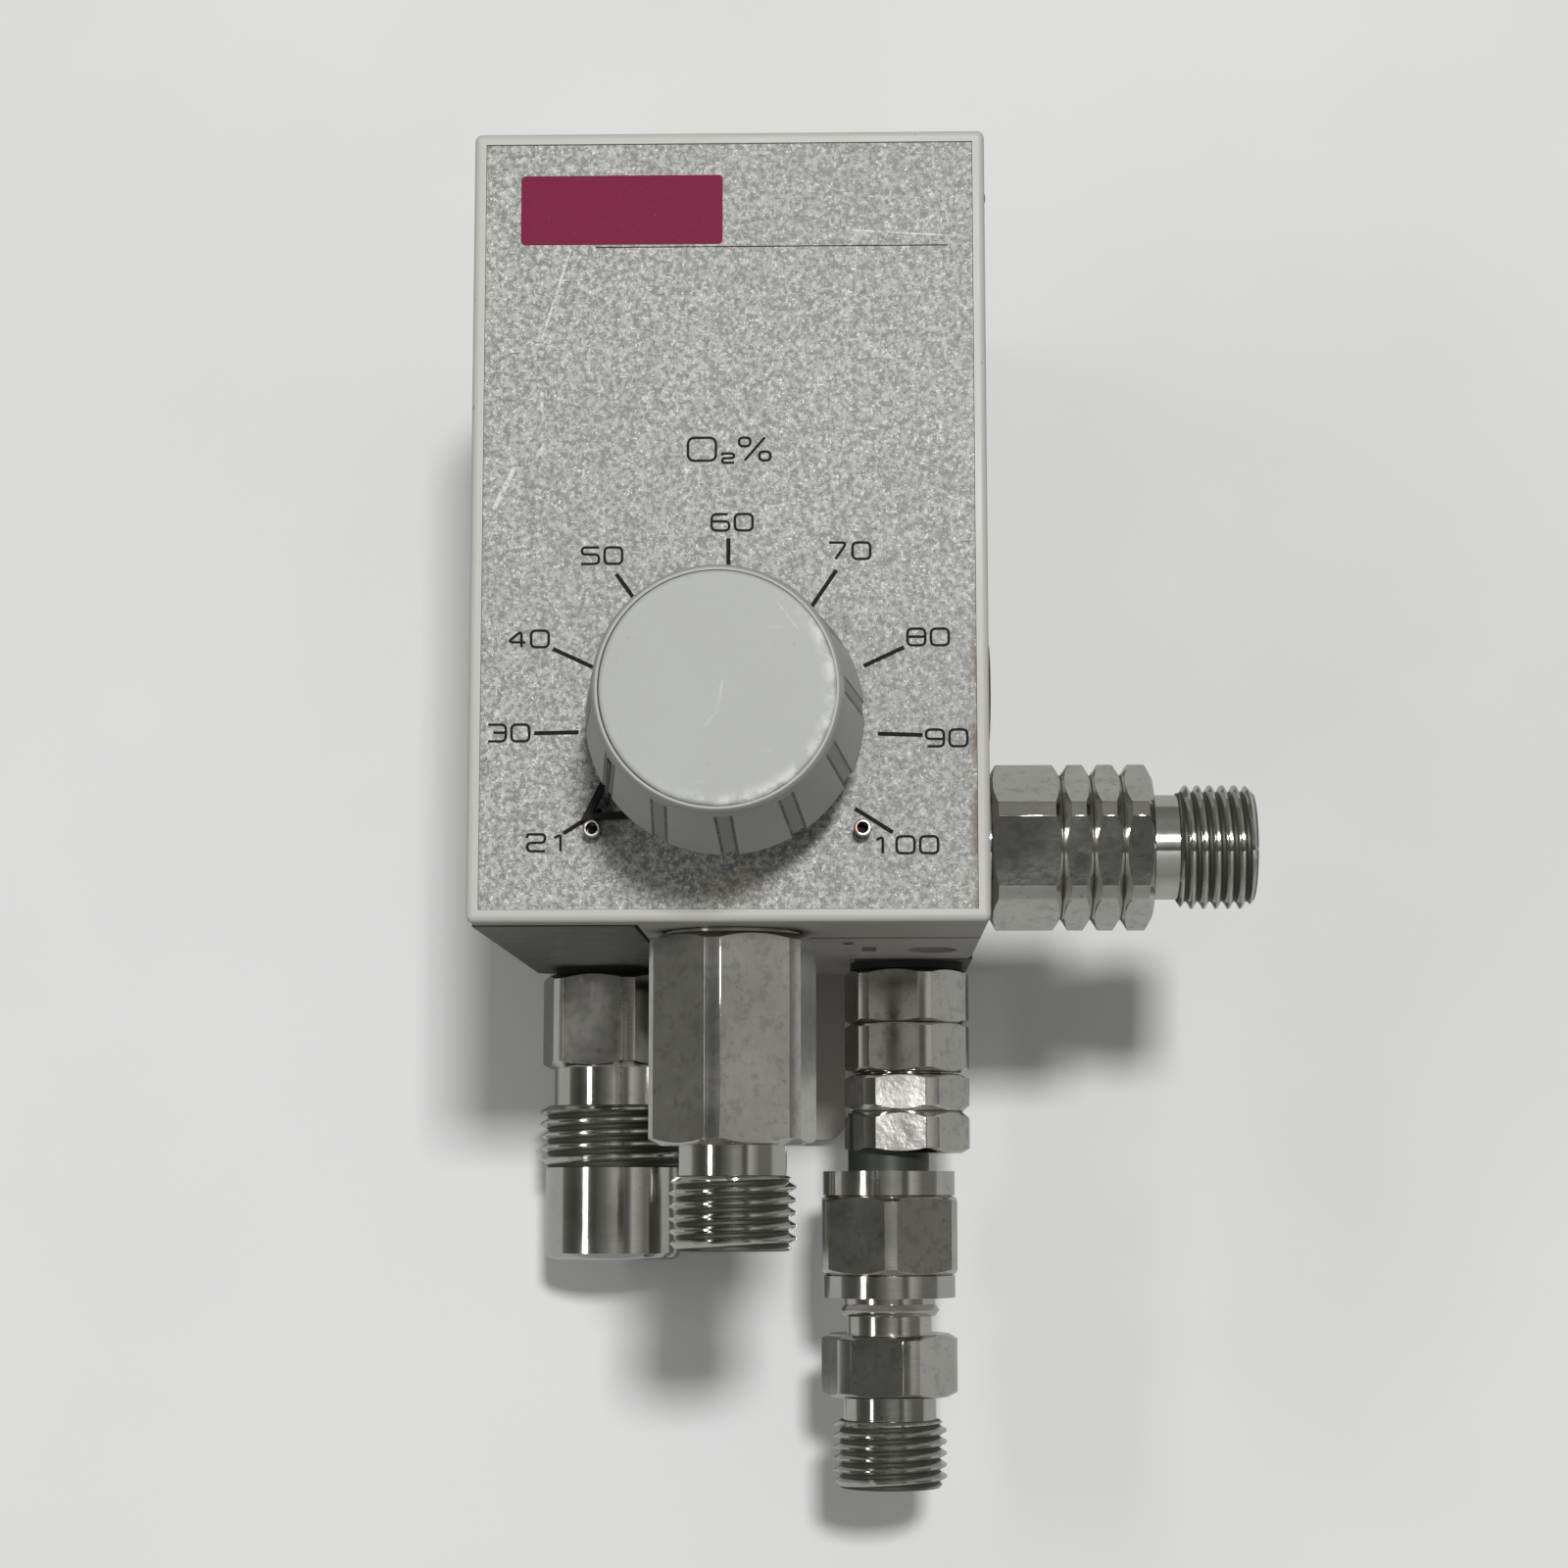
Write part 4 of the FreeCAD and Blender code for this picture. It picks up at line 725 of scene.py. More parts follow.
def sheet_paper(colours):
    """Pale sheet with faint creases that glows evenly for diffuse rays and is painted darker in reflections;
    seen from behind it lets the view through.
    """
    finish = Finish("pale_sheet")
    base = tuple(colours.sheet)
    tone = finish.noise(7, 4, 0.55)
    colour = finish.varied(tone, shade(base, 0.965), shade(base, 1.03))
    rays = finish.node("LightPath")
    # Painted reflection: the sheet shows a darker tone to glossy rays
    colour = finish.mix(rays.outputs["Is Glossy Ray"], colour, shade(base, SHEET_MIRRORED))
    finish.set(Base_Color=colour, Roughness=0.85)
    finish.set(Normal=finish.bump(finish.noise(16, 3, 0.5), 3, 0.3))
    finish.set(Specular_IOR_Level=0.2)
    # The sheet glows with an even light for diffuse rays in place of its bounce light
    sheet_glow = finish.node("Emission", Color=(*shade(base, SHEET_GLOW), 1))
    shown = finish.shader
    for share, other in ((rays.outputs["Is Diffuse Ray"], sheet_glow),
                         (finish.node("NewGeometry").outputs["Backfacing"], finish.node("BsdfTransparent"))):
        choice = finish.node("MixShader")
        for value, socket in zip((share, shown.outputs[0], other.outputs[0]), choice.inputs):
            finish.wire(value, socket)
        shown = choice
    finish.wire(shown.outputs[0], finish.tree.nodes["Material Output"].inputs["Surface"])
    return finish.material


def finish_for(name):
    """The named finish, made once."""
    if name in bpy.data.materials:
        return bpy.data.materials[name]
    colours = bpy.context.scene.gas_colours
    makers = {
        "grey_enamel": lambda: enamel(colours),
        "label_film": lambda: label_film(colours),
        "dark_block_coat": lambda: block_coat(colours),
        "knob_grey": lambda: knob_side(colours),
        "cap_grey": lambda: cap_face(colours),
        "black_plastic": lambda: black_plastic(colours),
        "dark_brown_plastic": lambda: plain_coat("dark_brown_plastic", 300, 4, (0.03, 0.02, 0.016),
                                                 (0.06, 0.04, 0.03), 0.22, 0.4),
        "black_ink": lambda: ink("black_ink", colours.ink),
        "maroon_ink": lambda: ink("maroon_ink", colours.band),
        "nickel_upright": lambda: nickel(colours, "nickel_upright", MARKS_UPRIGHT, 0.08, 0.01),
        "nickel_drawn": lambda: nickel(colours, "nickel_drawn", MARKS_UPRIGHT, 0.19, 0.015),
        "nickel_dented": lambda: nickel(colours, "nickel_dented", MARKS_UPRIGHT, 0.36, 0.16),
        "nickel_level": lambda: nickel(colours, "nickel_level", MARKS_LEVEL, 0.11, 0.03),
        "turned_brass": lambda: plain_metal("turned_brass", (0.6, 0.42, 0.16), 0.28),
        "sintered_bronze": lambda: plain_metal("sintered_bronze", (0.36, 0.22, 0.1), 0.6),
        "turned_steel": lambda: plain_metal("turned_steel", (0.5, 0.5, 0.49), 0.25),
        "machined_aluminium": lambda: plain_metal("machined_aluminium", (0.68, 0.68, 0.69), 0.35),
        "pin_steel": pin_steel,
        "seal_rubber": lambda: plain_coat("seal_rubber", 700, 4, (0.014, 0.014, 0.014),
                                          (0.03, 0.029, 0.028), 0.55, 0.75, 0.02),
        "red_lacquer": lambda: plain_coat("red_lacquer", 900, 3, (0.16, 0.012, 0.012),
                                          (0.32, 0.03, 0.03), 0.2, 0.35),
        "pale_sheet": lambda: sheet_paper(colours),
    }
    return makers[name]()


SLOT_FINISH = {
    "body_paint": "grey_enamel", "label_metal": "label_film", "block_paint": "dark_block_coat",
    "knob_plastic": "knob_grey", "cap_plastic": "cap_grey", "pointer_plastic": "black_plastic",
    "plug_plastic": "dark_brown_plastic", "nickel_plate": "nickel_upright", "brass": "turned_brass",
    "sintered_bronze": "sintered_bronze", "steel": "turned_steel", "bare_aluminium": "machined_aluminium",
    "seal_rubber": "seal_rubber",
}


# Fittings

# Width over the flats, then radii of the corners, the neck and the thread's crest
OUTLET_SIZES = (17.46 * MM, 9.6 * MM, 6.05 * MM, 7.144 * MM)
AIR_INLET_SIZES = (17.46 * MM, 9.6 * MM, 7.7 * MM, 9.525 * MM)
OXYGEN_FLATS = 14.65 * MM
OXYGEN_CORNER = 7.97 * MM
OXYGEN_GROOVE = 7.0 * MM
# Radii of the collar, the spigot, the passage and the wider chamber, and of the nut's bore
COLLAR = 7.6 * MM
SPIGOT = 6.5 * MM
PASSAGE = 2.6 * MM
CHAMBER = 4.6 * MM
NUT_BORE = 6.4 * MM
# Drop from a crest to the rim of the thread, chamfer at a bore's mouth, and how far the darkening reaches on
# a groove
RIM_DROP = 1.1 * MM
BORE_MOUTH = 0.4 * MM
GROOVE_DARK_REACH = 0.1 * MM


def socket_profile(passage, bore, rim, end, depth):
    """Profile of a socket that opens at the end; the depth is negative where the fitting points up."""
    mouth = math.copysign(BORE_MOUTH, depth)
    return [(passage, end + depth), (bore, end + depth), (bore, end + mouth), (bore + BORE_MOUTH, end),
            (rim, end)]


def fitting(node, parts, zones, move, finish="nickel_upright"):
    """Joins a fitting's shells, softens and marks it and puts it at its port."""
    bm = joined(parts, node)
    soften_plated(bm, bpy.context.scene.gas_edges)
    mark_recess_depth(bm, zones)
    mark_flats(bm)
    bmesh.ops.transform(bm, matrix=move, verts=bm.verts)
    return dress_node(bm, node, "_plated", finish)


def port_of(node):
    """Upright axis of a fitting that stands along Z, with its lowest and highest point."""
    low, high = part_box(node)
    axis = Matrix.Translation(((low.x + high.x) / 2, (low.y + high.y) / 2, 0))
    return axis, low.z, high.z


def root_of(crest, pitch):
    return crest - bpy.context.scene.gas_threads.depth_share * pitch


def male_end(crest, pitch, low, high, rim, neck, neck_end):
    """Thread between two heights, and the plain neck above it."""
    scene = bpy.context.scene
    steps = scene.gas_edges.steps
    groove = neck - THREAD_GROOVE
    return [thread_shell(crest, pitch, scene.gas_threads.depth_share, low, high, rim, groove, steps),
            turned_shell([(groove, high), (neck, high + THREAD_SINK), (neck, neck_end)], steps)]


def grooves_of(places, width, root):
    return [(place, width, root) for place in places]


class GAS_OT_primary_outlet(bpy.types.Operator):
    """Hexagon, neck and thread of the outlet under the body"""
    bl_idname = "gas.primary_outlet"
    bl_label = "Primary outlet"

    def execute(self, context):
        steps = context.scene.gas_edges.steps
        pitch = context.scene.gas_threads.fine_pitch
        axis, end, top = port_of("primary_outlet")
        flats, corner, neck, crest = OUTLET_SIZES
        thread_top = end + 8.3 * MM
        hex_low = thread_top + 3.35 * MM
        hex_high = hex_low + 23.5 * MM
        seat = top - 4.5 * MM
        rim = crest - RIM_DROP
        inner = socket_profile(3.2 * MM, CHAMBER, rim, end, 9 * MM)
        parts = [
            hexagon_shell(flats, corner, hex_low, hex_high, math.radians(-11.6), neck, COLLAR, steps),
            turned_shell([(COLLAR, hex_high), (COLLAR, seat), (SPIGOT, seat), (SPIGOT, top),
                          (3.2 * MM, top), *inner], steps),
            *male_end(crest, pitch, end, thread_top, rim, neck, hex_low),
        ]
        root = root_of(crest, pitch)
        fitting("primary_outlet", parts, [(end, thread_top, crest, root)], axis, "nickel_drawn")
        return {"FINISHED"}


class GAS_OT_auxiliary_outlet(bpy.types.Operator):
    """Grooved hexagon, neck and thread of the outlet on the right side"""
    bl_idname = "gas.auxiliary_outlet"
    bl_label = "Auxiliary outlet"

    def execute(self, context):
        steps = context.scene.gas_edges.steps
        threads = context.scene.gas_threads
        low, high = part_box("auxiliary_outlet")
        flats, corner, neck, crest = OUTLET_SIZES
        end = high.x
        inner = low.x
        thread_start = end - 8.8 * MM
        hex_end = thread_start - 3 * MM
        hex_start = hex_end - 18.6 * MM
        seat = inner + 5.5 * MM
        chamber_end = hex_start + 13 * MM
        rim = crest - RIM_DROP
        stations = [hex_start + station * MM for station in (8.15, 11.6, 15.05)]
        grooves = grooves_of(stations, 1.78 * MM, 8.25 * MM)
        groove = neck - THREAD_GROOVE
        thread = thread_shell(crest, threads.fine_pitch, threads.depth_share, -end, -thread_start, rim,
                              groove, steps)
        bmesh.ops.rotate(thread, cent=(0, 0, 0), matrix=Matrix.Rotation(math.pi, 3, "X"), verts=thread.verts)
        parts = [
            hexagon_shell(flats, corner, hex_start, hex_end, math.radians(30), COLLAR, neck, steps, grooves),
            turned_shell([(COLLAR, hex_start), (COLLAR, seat), (SPIGOT, seat), (SPIGOT, inner),
                          (CHAMBER, inner), (CHAMBER, chamber_end), (PASSAGE, chamber_end),
                          *socket_profile(PASSAGE, CHAMBER, rim, end, -8 * MM)], steps),
            thread,
            turned_shell([(groove, thread_start), (neck, thread_start - THREAD_SINK), (neck, hex_end)],
                         steps),
        ]
        root = root_of(crest, threads.fine_pitch)
        zones = [(thread_start, end, crest, root)]
        zones += [(place - width / 2, place + width / 2, flats / 2 + GROOVE_DARK_REACH, base)
                  for place, width, base in grooves]
        centre = Matrix.Translation((0, (low.y + high.y) / 2, (low.z + high.z) / 2))
        move = centre @ Matrix.Rotation(math.pi / 2, 4, "Y") @ Matrix.Rotation(math.radians(8.6), 4, "Z")
        fitting("auxiliary_outlet", parts, zones, move, "nickel_level")
        return {"FINISHED"}


class GAS_OT_air_inlet(bpy.types.Operator):
    """Hexagon, wide thread and plain nose of the air inlet"""
    bl_idname = "gas.air_inlet"
    bl_label = "Air inlet"

    def execute(self, context):
        steps = context.scene.gas_edges.steps
        pitch = context.scene.gas_threads.coarse_pitch
        axis, end, top = port_of("air_inlet")
        flats, corner, neck, crest = AIR_INLET_SIZES
        nose, bore = 8.75 * MM, 5.6 * MM
        thread_low = end + 11.9 * MM
        thread_high = thread_low + 7.9 * MM
        hex_low = thread_high + 4.9 * MM
        hex_high = hex_low + 12.2 * MM
        chamber_low = hex_high - 13.5 * MM
        bore_high = chamber_low - 2 * MM
        rim_low = nose - 0.3 * MM
        parts = [
            hexagon_shell(flats, corner, hex_low, hex_high, math.radians(15.1), neck, SPIGOT, steps),
            turned_shell([(SPIGOT, hex_high), (SPIGOT, top), (CHAMBER, top), (CHAMBER, chamber_low),
                          (PASSAGE, chamber_low), (PASSAGE, bore_high), (bore, bore_high), (bore, end),
                          (nose - 0.8 * MM, end), (nose - 0.25 * MM, end + 0.25 * MM),
                          (nose, end + 0.8 * MM), (nose, thread_low - 0.1 * MM), (rim_low, thread_low)],
                         steps),
            *male_end(crest, pitch, thread_low, thread_high, rim_low, neck, hex_low),
        ]
        root = root_of(crest, pitch)
        zones = [(thread_low, thread_high, crest + 0.3 * MM, root)]
        fitting("air_inlet", parts, zones, axis)
        return {"FINISHED"}


class GAS_OT_oxygen_inlet(bpy.types.Operator):
    """Grooved hexagons, nipple, union nut and adapter of the oxygen inlet"""
    bl_idname = "gas.oxygen_inlet"
    bl_label = "Oxygen inlet"

    def execute(self, context):
        steps = context.scene.gas_edges.steps
        self.upper_hexagon(steps)
        self.lower_hexagon(steps)
        self.nipple(steps)
        self.nut(steps)
        self.adapter(steps, context.scene.gas_threads.fine_pitch)
        return {"FINISHED"}

    def upper_hexagon(self, steps):
        axis, low, top = port_of("oxygen_inlet")
        flats, corner = OXYGEN_FLATS, OXYGEN_CORNER
        high = low + 13.1 * MM
        grooves = grooves_of([high - 6.85 * MM], 0.9 * MM, OXYGEN_GROOVE)
        spigot, seat_high = 5.5 * MM, low + 2 * MM
        parts = [
            hexagon_shell(flats, corner, low, high, math.radians(16.1), PASSAGE, spigot, steps, grooves),
            turned_shell([(spigot, high), (spigot, top), (CHAMBER, top), (CHAMBER, seat_high),
                          (PASSAGE, seat_high), (PASSAGE, low)], steps),
        ]
        zones = [(high - 7.4 * MM, high - 6.3 * MM, flats / 2 + GROOVE_DARK_REACH, OXYGEN_GROOVE)]
        fitting("oxygen_inlet", parts, zones, axis)

    def lower_hexagon(self, steps):
        axis, low, top = port_of("oxygen_offset_body")
        flats, corner = OXYGEN_FLATS, OXYGEN_CORNER
        high = low + 9.9 * MM
        grooves = grooves_of([high - 4.7 * MM], 1.6 * MM, OXYGEN_GROOVE)
        boss, seat_low = 6 * MM, low + 5.2 * MM
        parts = [
            hexagon_shell(flats, corner, low, high, math.radians(22.7), boss, boss, steps, grooves),
            turned_shell([(boss, high), (boss, top), (PASSAGE, top), (PASSAGE, seat_low), (0, seat_low)],
                         steps),
            turned_shell([(boss, low), (0, low)], steps),
        ]
        zones = [(high - 5.6 * MM, high - 3.8 * MM, flats / 2 + GROOVE_DARK_REACH, OXYGEN_GROOVE)]
        fitting("oxygen_offset_body", parts, zones, axis, "nickel_dented")

    def nipple(self, steps):
        axis, low, high = port_of("oxygen_nipple")
        outer = 5.15 * MM
        profile = [(outer, low), (outer, high), (PASSAGE, high), (PASSAGE, low)]
        parts = [turned_shell(profile, steps, closed=True)]
        fitting("oxygen_nipple", parts, [(low, high, NUT_BORE, outer)], axis)

    def nut(self, steps):
        axis, low, high = port_of("union_nut")
        flats, corner, collar = 17.0 * MM, 9.4 * MM, 8.38 * MM
        hex_high = high - 3.05 * MM
        hex_low = low + 2.8 * MM
        shoulder = high - 3 * MM
        hole = 5.15 * MM
        collar_foot = HEX_END * flats - 0.1 * MM
        parts = [
            hexagon_shell(flats, corner, hex_low, hex_high, math.radians(1), collar_foot, collar_foot,
                          steps),
            turned_shell([(collar_foot, hex_high), (collar, hex_high + 0.06 * MM), (collar, high),
                          (hole, high), (hole, shoulder), (NUT_BORE, shoulder), (NUT_BORE, low),
                          (collar, low), (collar, hex_low - 0.06 * MM), (collar_foot, hex_low)], steps),
        ]
        fitting("union_nut", parts, [], axis)

    def adapter(self, steps, pitch):
        axis, end, top = port_of("oxygen_adapter")
        flats, corner = 15.875 * MM, 8.6 * MM
        crest, neck_low, neck_high, ring = 7.144 * MM, 5.87 * MM, 5.35 * MM, 6.33 * MM
        thread_high = end + 8.35 * MM
        hex_low = thread_high + 2.9 * MM
        hex_high = hex_low + 7.8 * MM
        ring_low = hex_high + 2.2 * MM
        rim = crest - RIM_DROP
        parts = [
            hexagon_shell(flats, corner, hex_low, hex_high, math.radians(17.9), neck_low, neck_high, steps),
            turned_shell([(neck_high, hex_high), (neck_high, ring_low), (ring - 0.5 * MM, ring_low),
                          (ring, ring_low + 0.75 * MM), (ring - 0.5 * MM, ring_low + 1.5 * MM),
                          (ring - 0.5 * MM, top), (PASSAGE, top),
                          *socket_profile(PASSAGE, 4.4 * MM, rim, end, 9 * MM)], steps),
            *male_end(crest, pitch, end, thread_high, rim, neck_low, hex_low),
        ]
        root = root_of(crest, pitch)
        fitting("oxygen_adapter", parts, [(end, thread_high, crest, root)], axis)


# Body

class GAS_OT_castings(bpy.types.Operator):
    """Painted cover, housing and bracket with softened edges"""
    bl_idname = "gas.castings"
    bl_label = "Castings"

    def execute(self, context):
        offset = context.scene.gas_edges.casting
        for node in ("front_cover", "rear_housing", "rear_bracket"):
            dress_node(soft_copy(node, offset), node, "_painted", "grey_enamel")
        return {"FINISHED"}


class GAS_OT_inlet_blocks(bpy.types.Operator):
    """Dark blocks that carry the two inlets"""
    bl_idname = "gas.inlet_blocks"
    bl_label = "Inlet blocks"

    def execute(self, context):
        offset = context.scene.gas_edges.block
        for node in ("air_block", "oxygen_block"):
            dress_node(soft_copy(node, offset), node, "_coated", "dark_block_coat")
        return {"FINISHED"}


PLUG_EDGE = 0.12 * MM
SCREW_STEPS = 32
# Screw from the middle of its slot to its end: share of the radius, and height in millimetres
SCREW_HEAD = ((0, 0.1), (0.5, 0.1), (0.62, 0), (0.55, 0.35), (0.85, 0.4), (1, 0.25), (1, -6.4), (0, -6.4))
# Red lacquer on the right screw: how thick, deep and high it is, as shares of the screw's radius
LACQUER_SIZE = (0.42, 1.05, 0.95)


class GAS_OT_side_details(bpy.types.Operator):
    """Round plug, side screws and their lacquer"""
    bl_idname = "gas.side_details"
    bl_label = "Side details"

    def execute(self, context):
        dress_node(soft_copy("side_plug", PLUG_EDGE), "side_plug", "_moulded", "dark_brown_plastic")
        low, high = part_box("side_screws")
        centre = Vector((0, (low.y + high.y) / 2, (low.z + high.z) / 2))
        radius = (high.z - low.z) / 2
        bm = bmesh.new()
        for side in (-1, 1):
            tip = high.x - centre.x
            profile = [(radius * share, tip - 0.4 * MM + rise * MM) for share, rise in SCREW_HEAD]
            screw = turned_shell(profile, SCREW_STEPS)
            bmesh.ops.transform(screw, verts=screw.verts, matrix=Matrix.Translation(centre)
                                @ Matrix.Rotation(side * math.pi / 2, 4, "Y"))
            take(bm, screw)
        bmesh.ops.recalc_face_normals(bm, faces=bm.faces)
        dress_node(bm, "side_screws", "_turned", "turned_steel")
        blob = bmesh.new()
        bmesh.ops.create_icosphere(blob, subdivisions=4, radius=1)
        for vert in blob.verts:
            swell = 1 + 0.12 * math.sin(5 * vert.co.y + 1) * math.cos(4 * vert.co.z)
            thick, deep, tall = (share * place for share, place in zip(LACQUER_SIZE, vert.co))
            vert.co = Vector((thick, deep * swell, tall * swell)) * radius * 1.1
        bmesh.ops.translate(blob, vec=Vector((high.x - 0.2 * MM, centre.y + 0.1 * MM, centre.z - 0.15 * MM)),
                            verts=blob.verts)
        dress(blob, "sealing_lacquer", finish_for("red_lacquer"), body_of("side_screws"))
        return {"FINISHED"}


class GAS_OT_inner_parts(bpy.types.Operator):
    """Finishes for every part that keeps its own mesh"""
    bl_idname = "gas.inner_parts"
    bl_label = "Inner parts"

    def execute(self, context):
        for node, part in frame["nodes"].items():
            slot = part.data.materials[0].name.split(".")[0] if part.data.materials else ""
            if slot not in SLOT_FINISH:
                raise RuntimeError(f"{node} has no known material slot: {slot!r}")
            material = finish_for(SLOT_FINISH[slot])
            if not part.material_slots:
                part.data.materials.append(material)
            for holder in part.material_slots:
                holder.link = "OBJECT"
                holder.material = material
        return {"FINISHED"}


# Label print

def rounded_path(points, radius, closed):
    """Points of a line with round corners."""
    path = []
    count = len(points)
    for index, point in enumerate(points):
        here = Vector(point)
        if not closed and index in (0, count - 1):
            path.append(here)
            continue
        before = Vector(points[index - 1])
        after = Vector(points[(index + 1) % count])
        reach = min(radius, (before - here).length / 2, (after - here).length / 2)
        start = here + (before - here).normalized() * reach
        end = here + (after - here).normalized() * reach
        for share in (0, 0.25, 0.5, 0.75, 1):
            path.append(start.lerp(here, share).lerp(here.lerp(end, share), share))
    return path


# Strokes of each figure in a box one wide and one high: (points, closed)
FIGURES = {
    "0": [([(0, 0), (0, 1), (1, 1), (1, 0)], True)],
    "1": [([(0.2, 0.78), (0.55, 1), (0.55, 0)], False)],
    "2": [([(0, 0.78), (0, 1), (1, 1), (1, 0.52), (0, 0.48), (0, 0), (1, 0)], False)],
    "3": [([(0, 1), (1, 1), (1, 0), (0, 0)], False), ([(0.3, 0.52), (1, 0.52)], False)],
    "4": [([(0.78, 0), (0.78, 1), (0, 0.3), (1, 0.3)], False)],
    "5": [([(1, 1), (0.03, 1), (0.03, 0.58), (1, 0.58), (1, 0), (0, 0)], False)],
    "6": [([(0.92, 1), (0, 1), (0, 0), (1, 0), (1, 0.56), (0, 0.56)], False)],
    "7": [([(0, 1), (1, 1), (0.35, 0)], False)],
    "8": [([(0, 0), (0, 1), (1, 1), (1, 0)], True), ([(0, 0.52), (1, 0.52)], False)],
    "9": [([(0.08, 0), (1, 0), (1, 1), (0, 1), (0, 0.44), (1, 0.44)], False)],
    "%": [([(0, 0.62), (0, 1), (0.36, 1), (0.36, 0.62)], True),
          ([(0.64, 0), (0.64, 0.38), (1, 0.38), (1, 0)], True), ([(0.82, 1), (0.18, 0)], False)],
}


def written(groups, stroke, name):
    """Flat mesh of figures, each given as (figure, left, bottom, width, height), facing -Y."""
    curve = bpy.data.curves.new(name, "CURVE")
    curve.dimensions = "3D"
    curve.bevel_depth = stroke / 2
    curve.bevel_resolution = 2
    curve.use_fill_caps = True
    for figure, left, bottom, width, height in groups:
        for points, closed in FIGURES[figure]:
            sized = [(left + across * width, 0, bottom + up * height) for across, up in points]
            path = rounded_path(sized, 0.3 * height, closed)
            spline = curve.splines.new("POLY")
            spline.points.add(len(path) - 1)
            for place, point in zip(spline.points, path):
                place.co = (*point, 1)
            spline.use_cyclic_u = closed
    holder = bpy.data.objects.new(name, curve)
    bpy.context.scene.collection.objects.link(holder)
    mesh = bpy.data.meshes.new_from_object(holder.evaluated_get(bpy.context.evaluated_depsgraph_get()))
    bm = bmesh.new()
    bm.from_mesh(mesh)
    bpy.data.objects.remove(holder)
    bpy.data.meshes.remove(mesh)
    return bm


DIAL_TICKS = {"21": -122.5, "30": -91, "40": -65, "50": -35.5, "60": 0, "70": 34, "80": 65, "90": 92,
              "100": 122.5}
DIAL_NUMBERS = {"60": (0.40, -0.22), "50": (-13.99, -3.89), "40": (-22.03, -13.18), "30": (-24.08, -23.63),
                "21": (-19.66, -35.75), "70": (13.37, -3.49), "80": (21.94, -13.17), "90": (23.89, -24.37),
                "100": (19.33, -36.10)}


# Rule and band in millimetres: both sides, the height of the middle and the width
PLAIN_RULE = ((-14.9, 24.4), 31.2, 0.12)
BAND = ((-23.3, -0.7), 35.5, 8.0)
BAND_CORNER = 0.5 * MM
FIGURE_GAP = 0.62 * MM
# Unit sign: figure, left, bottom, width and height in millimetres
UNIT_SIGN = (("0", -4.5, 6.75, 3.1, 2.6), ("2", -0.7, 6.5, 1.3, 1.05), ("%", 1.15, 6.75, 3.5, 2.6))


class GAS_OT_label_print(bpy.types.Operator):
    """Dial ticks, numbers, unit sign, rule and maroon band on the label"""
    bl_idname = "gas.label_print"
    bl_label = "Label print"

    def execute(self, context):
        dial = context.scene.gas_dial
        bm = bmesh.new()
        for turn in DIAL_TICKS.values():
            self.bar(bm, dial, (dial.tick_inner + dial.tick_outer) / 2, dial.tick_outer - dial.tick_inner,
                     dial.tick_width, math.radians(turn))
        self.rule(bm, dial, *PLAIN_RULE)
        take(bm, self.figures(dial))
        dress(bm, "dial_print", finish_for("black_ink"), body_of("label_plate"))
        band = bmesh.new()
        self.rule(band, dial, *BAND)
        upright = [edge for edge in band.edges
                   if abs(edge.verts[0].co.y - edge.verts[1].co.y) > dial.ink_rise / 2]
        soften(band, upright, BAND_CORNER, 3)
        dress(band, "label_band", finish_for("maroon_ink"), body_of("label_plate"))
        return {"FINISHED"}

    def bar(self, bm, dial, reach, length, width, turn):
        """Tick that points at the dial's centre."""
        made = bmesh.ops.create_cube(bm, size=1)
        turned = Matrix.Rotation(turn, 4, "Y") @ Matrix.Translation((0, 0, reach))
        size = Matrix.Diagonal((width, 2 * dial.ink_rise, length, 1))
        bmesh.ops.transform(bm, matrix=Matrix.Translation(DIAL_CENTRE) @ turned @ size, verts=made["verts"])

    def rule(self, bm, dial, sides, height, width):
        """Level bar between two sides, at a height in millimetres."""
        made = bmesh.ops.create_cube(bm, size=1)
        centre = Vector((sum(sides) / 2 * MM, LABEL_FACE, height * MM))
        size = ((sides[1] - sides[0]) * MM, 2 * dial.ink_rise, width * MM, 1)
        move = Matrix.Translation(centre) @ Matrix.Diagonal(size)
        bmesh.ops.transform(bm, matrix=move, verts=made["verts"])

    def figures(self, dial):
        groups = []
        for text, (across, up) in DIAL_NUMBERS.items():
            width, height = dial.numeral_width, dial.numeral_height
            total = len(text) * width + (len(text) - 1) * FIGURE_GAP
            for index, figure in enumerate(text):
                left = across * MM - total / 2 + index * (width + FIGURE_GAP)
                groups.append((figure, left, up * MM - height / 2, width, height))
        groups += [(figure, *(size * MM for size in sizes)) for figure, *sizes in UNIT_SIGN]
        bm = written(groups, dial.stroke, "figures")
        thin = Matrix.Diagonal((1, 2 * dial.ink_rise / dial.stroke, 1, 1))
        bmesh.ops.transform(bm, matrix=Matrix.Translation((0, LABEL_FACE, 0)) @ thin, verts=bm.verts)
        return bm


# Knob

# How far the cap is spread and moved, and the shape of the pins' bore
CAP_SPREAD = 1.0075
CAP_SHIFT = Vector((0.045, 0, 0.045)) * MM
PIN_BORE_SHARE = 0.645
PIN_BORE_DEPTH = 1.8 * MM
PIN_CHAMFER = 0.12 * MM
PIN_STEPS = 64
# Pointer: its plate's front and radius, and where its window is, from the dial's axis outward
POINTER_FRONT = 1.75 * MM
POINTER_PLATE = 10.8 * MM
WINDOW_HALF = 2 * MM
WINDOW_LOW = 13.2 * MM
WINDOW_HIGH = 16.4 * MM
WINDOW_SPREAD = 1.45
WINDOW_MIDDLE = 14.3 * MM
WINDOW_LIFT = 0.3 * MM
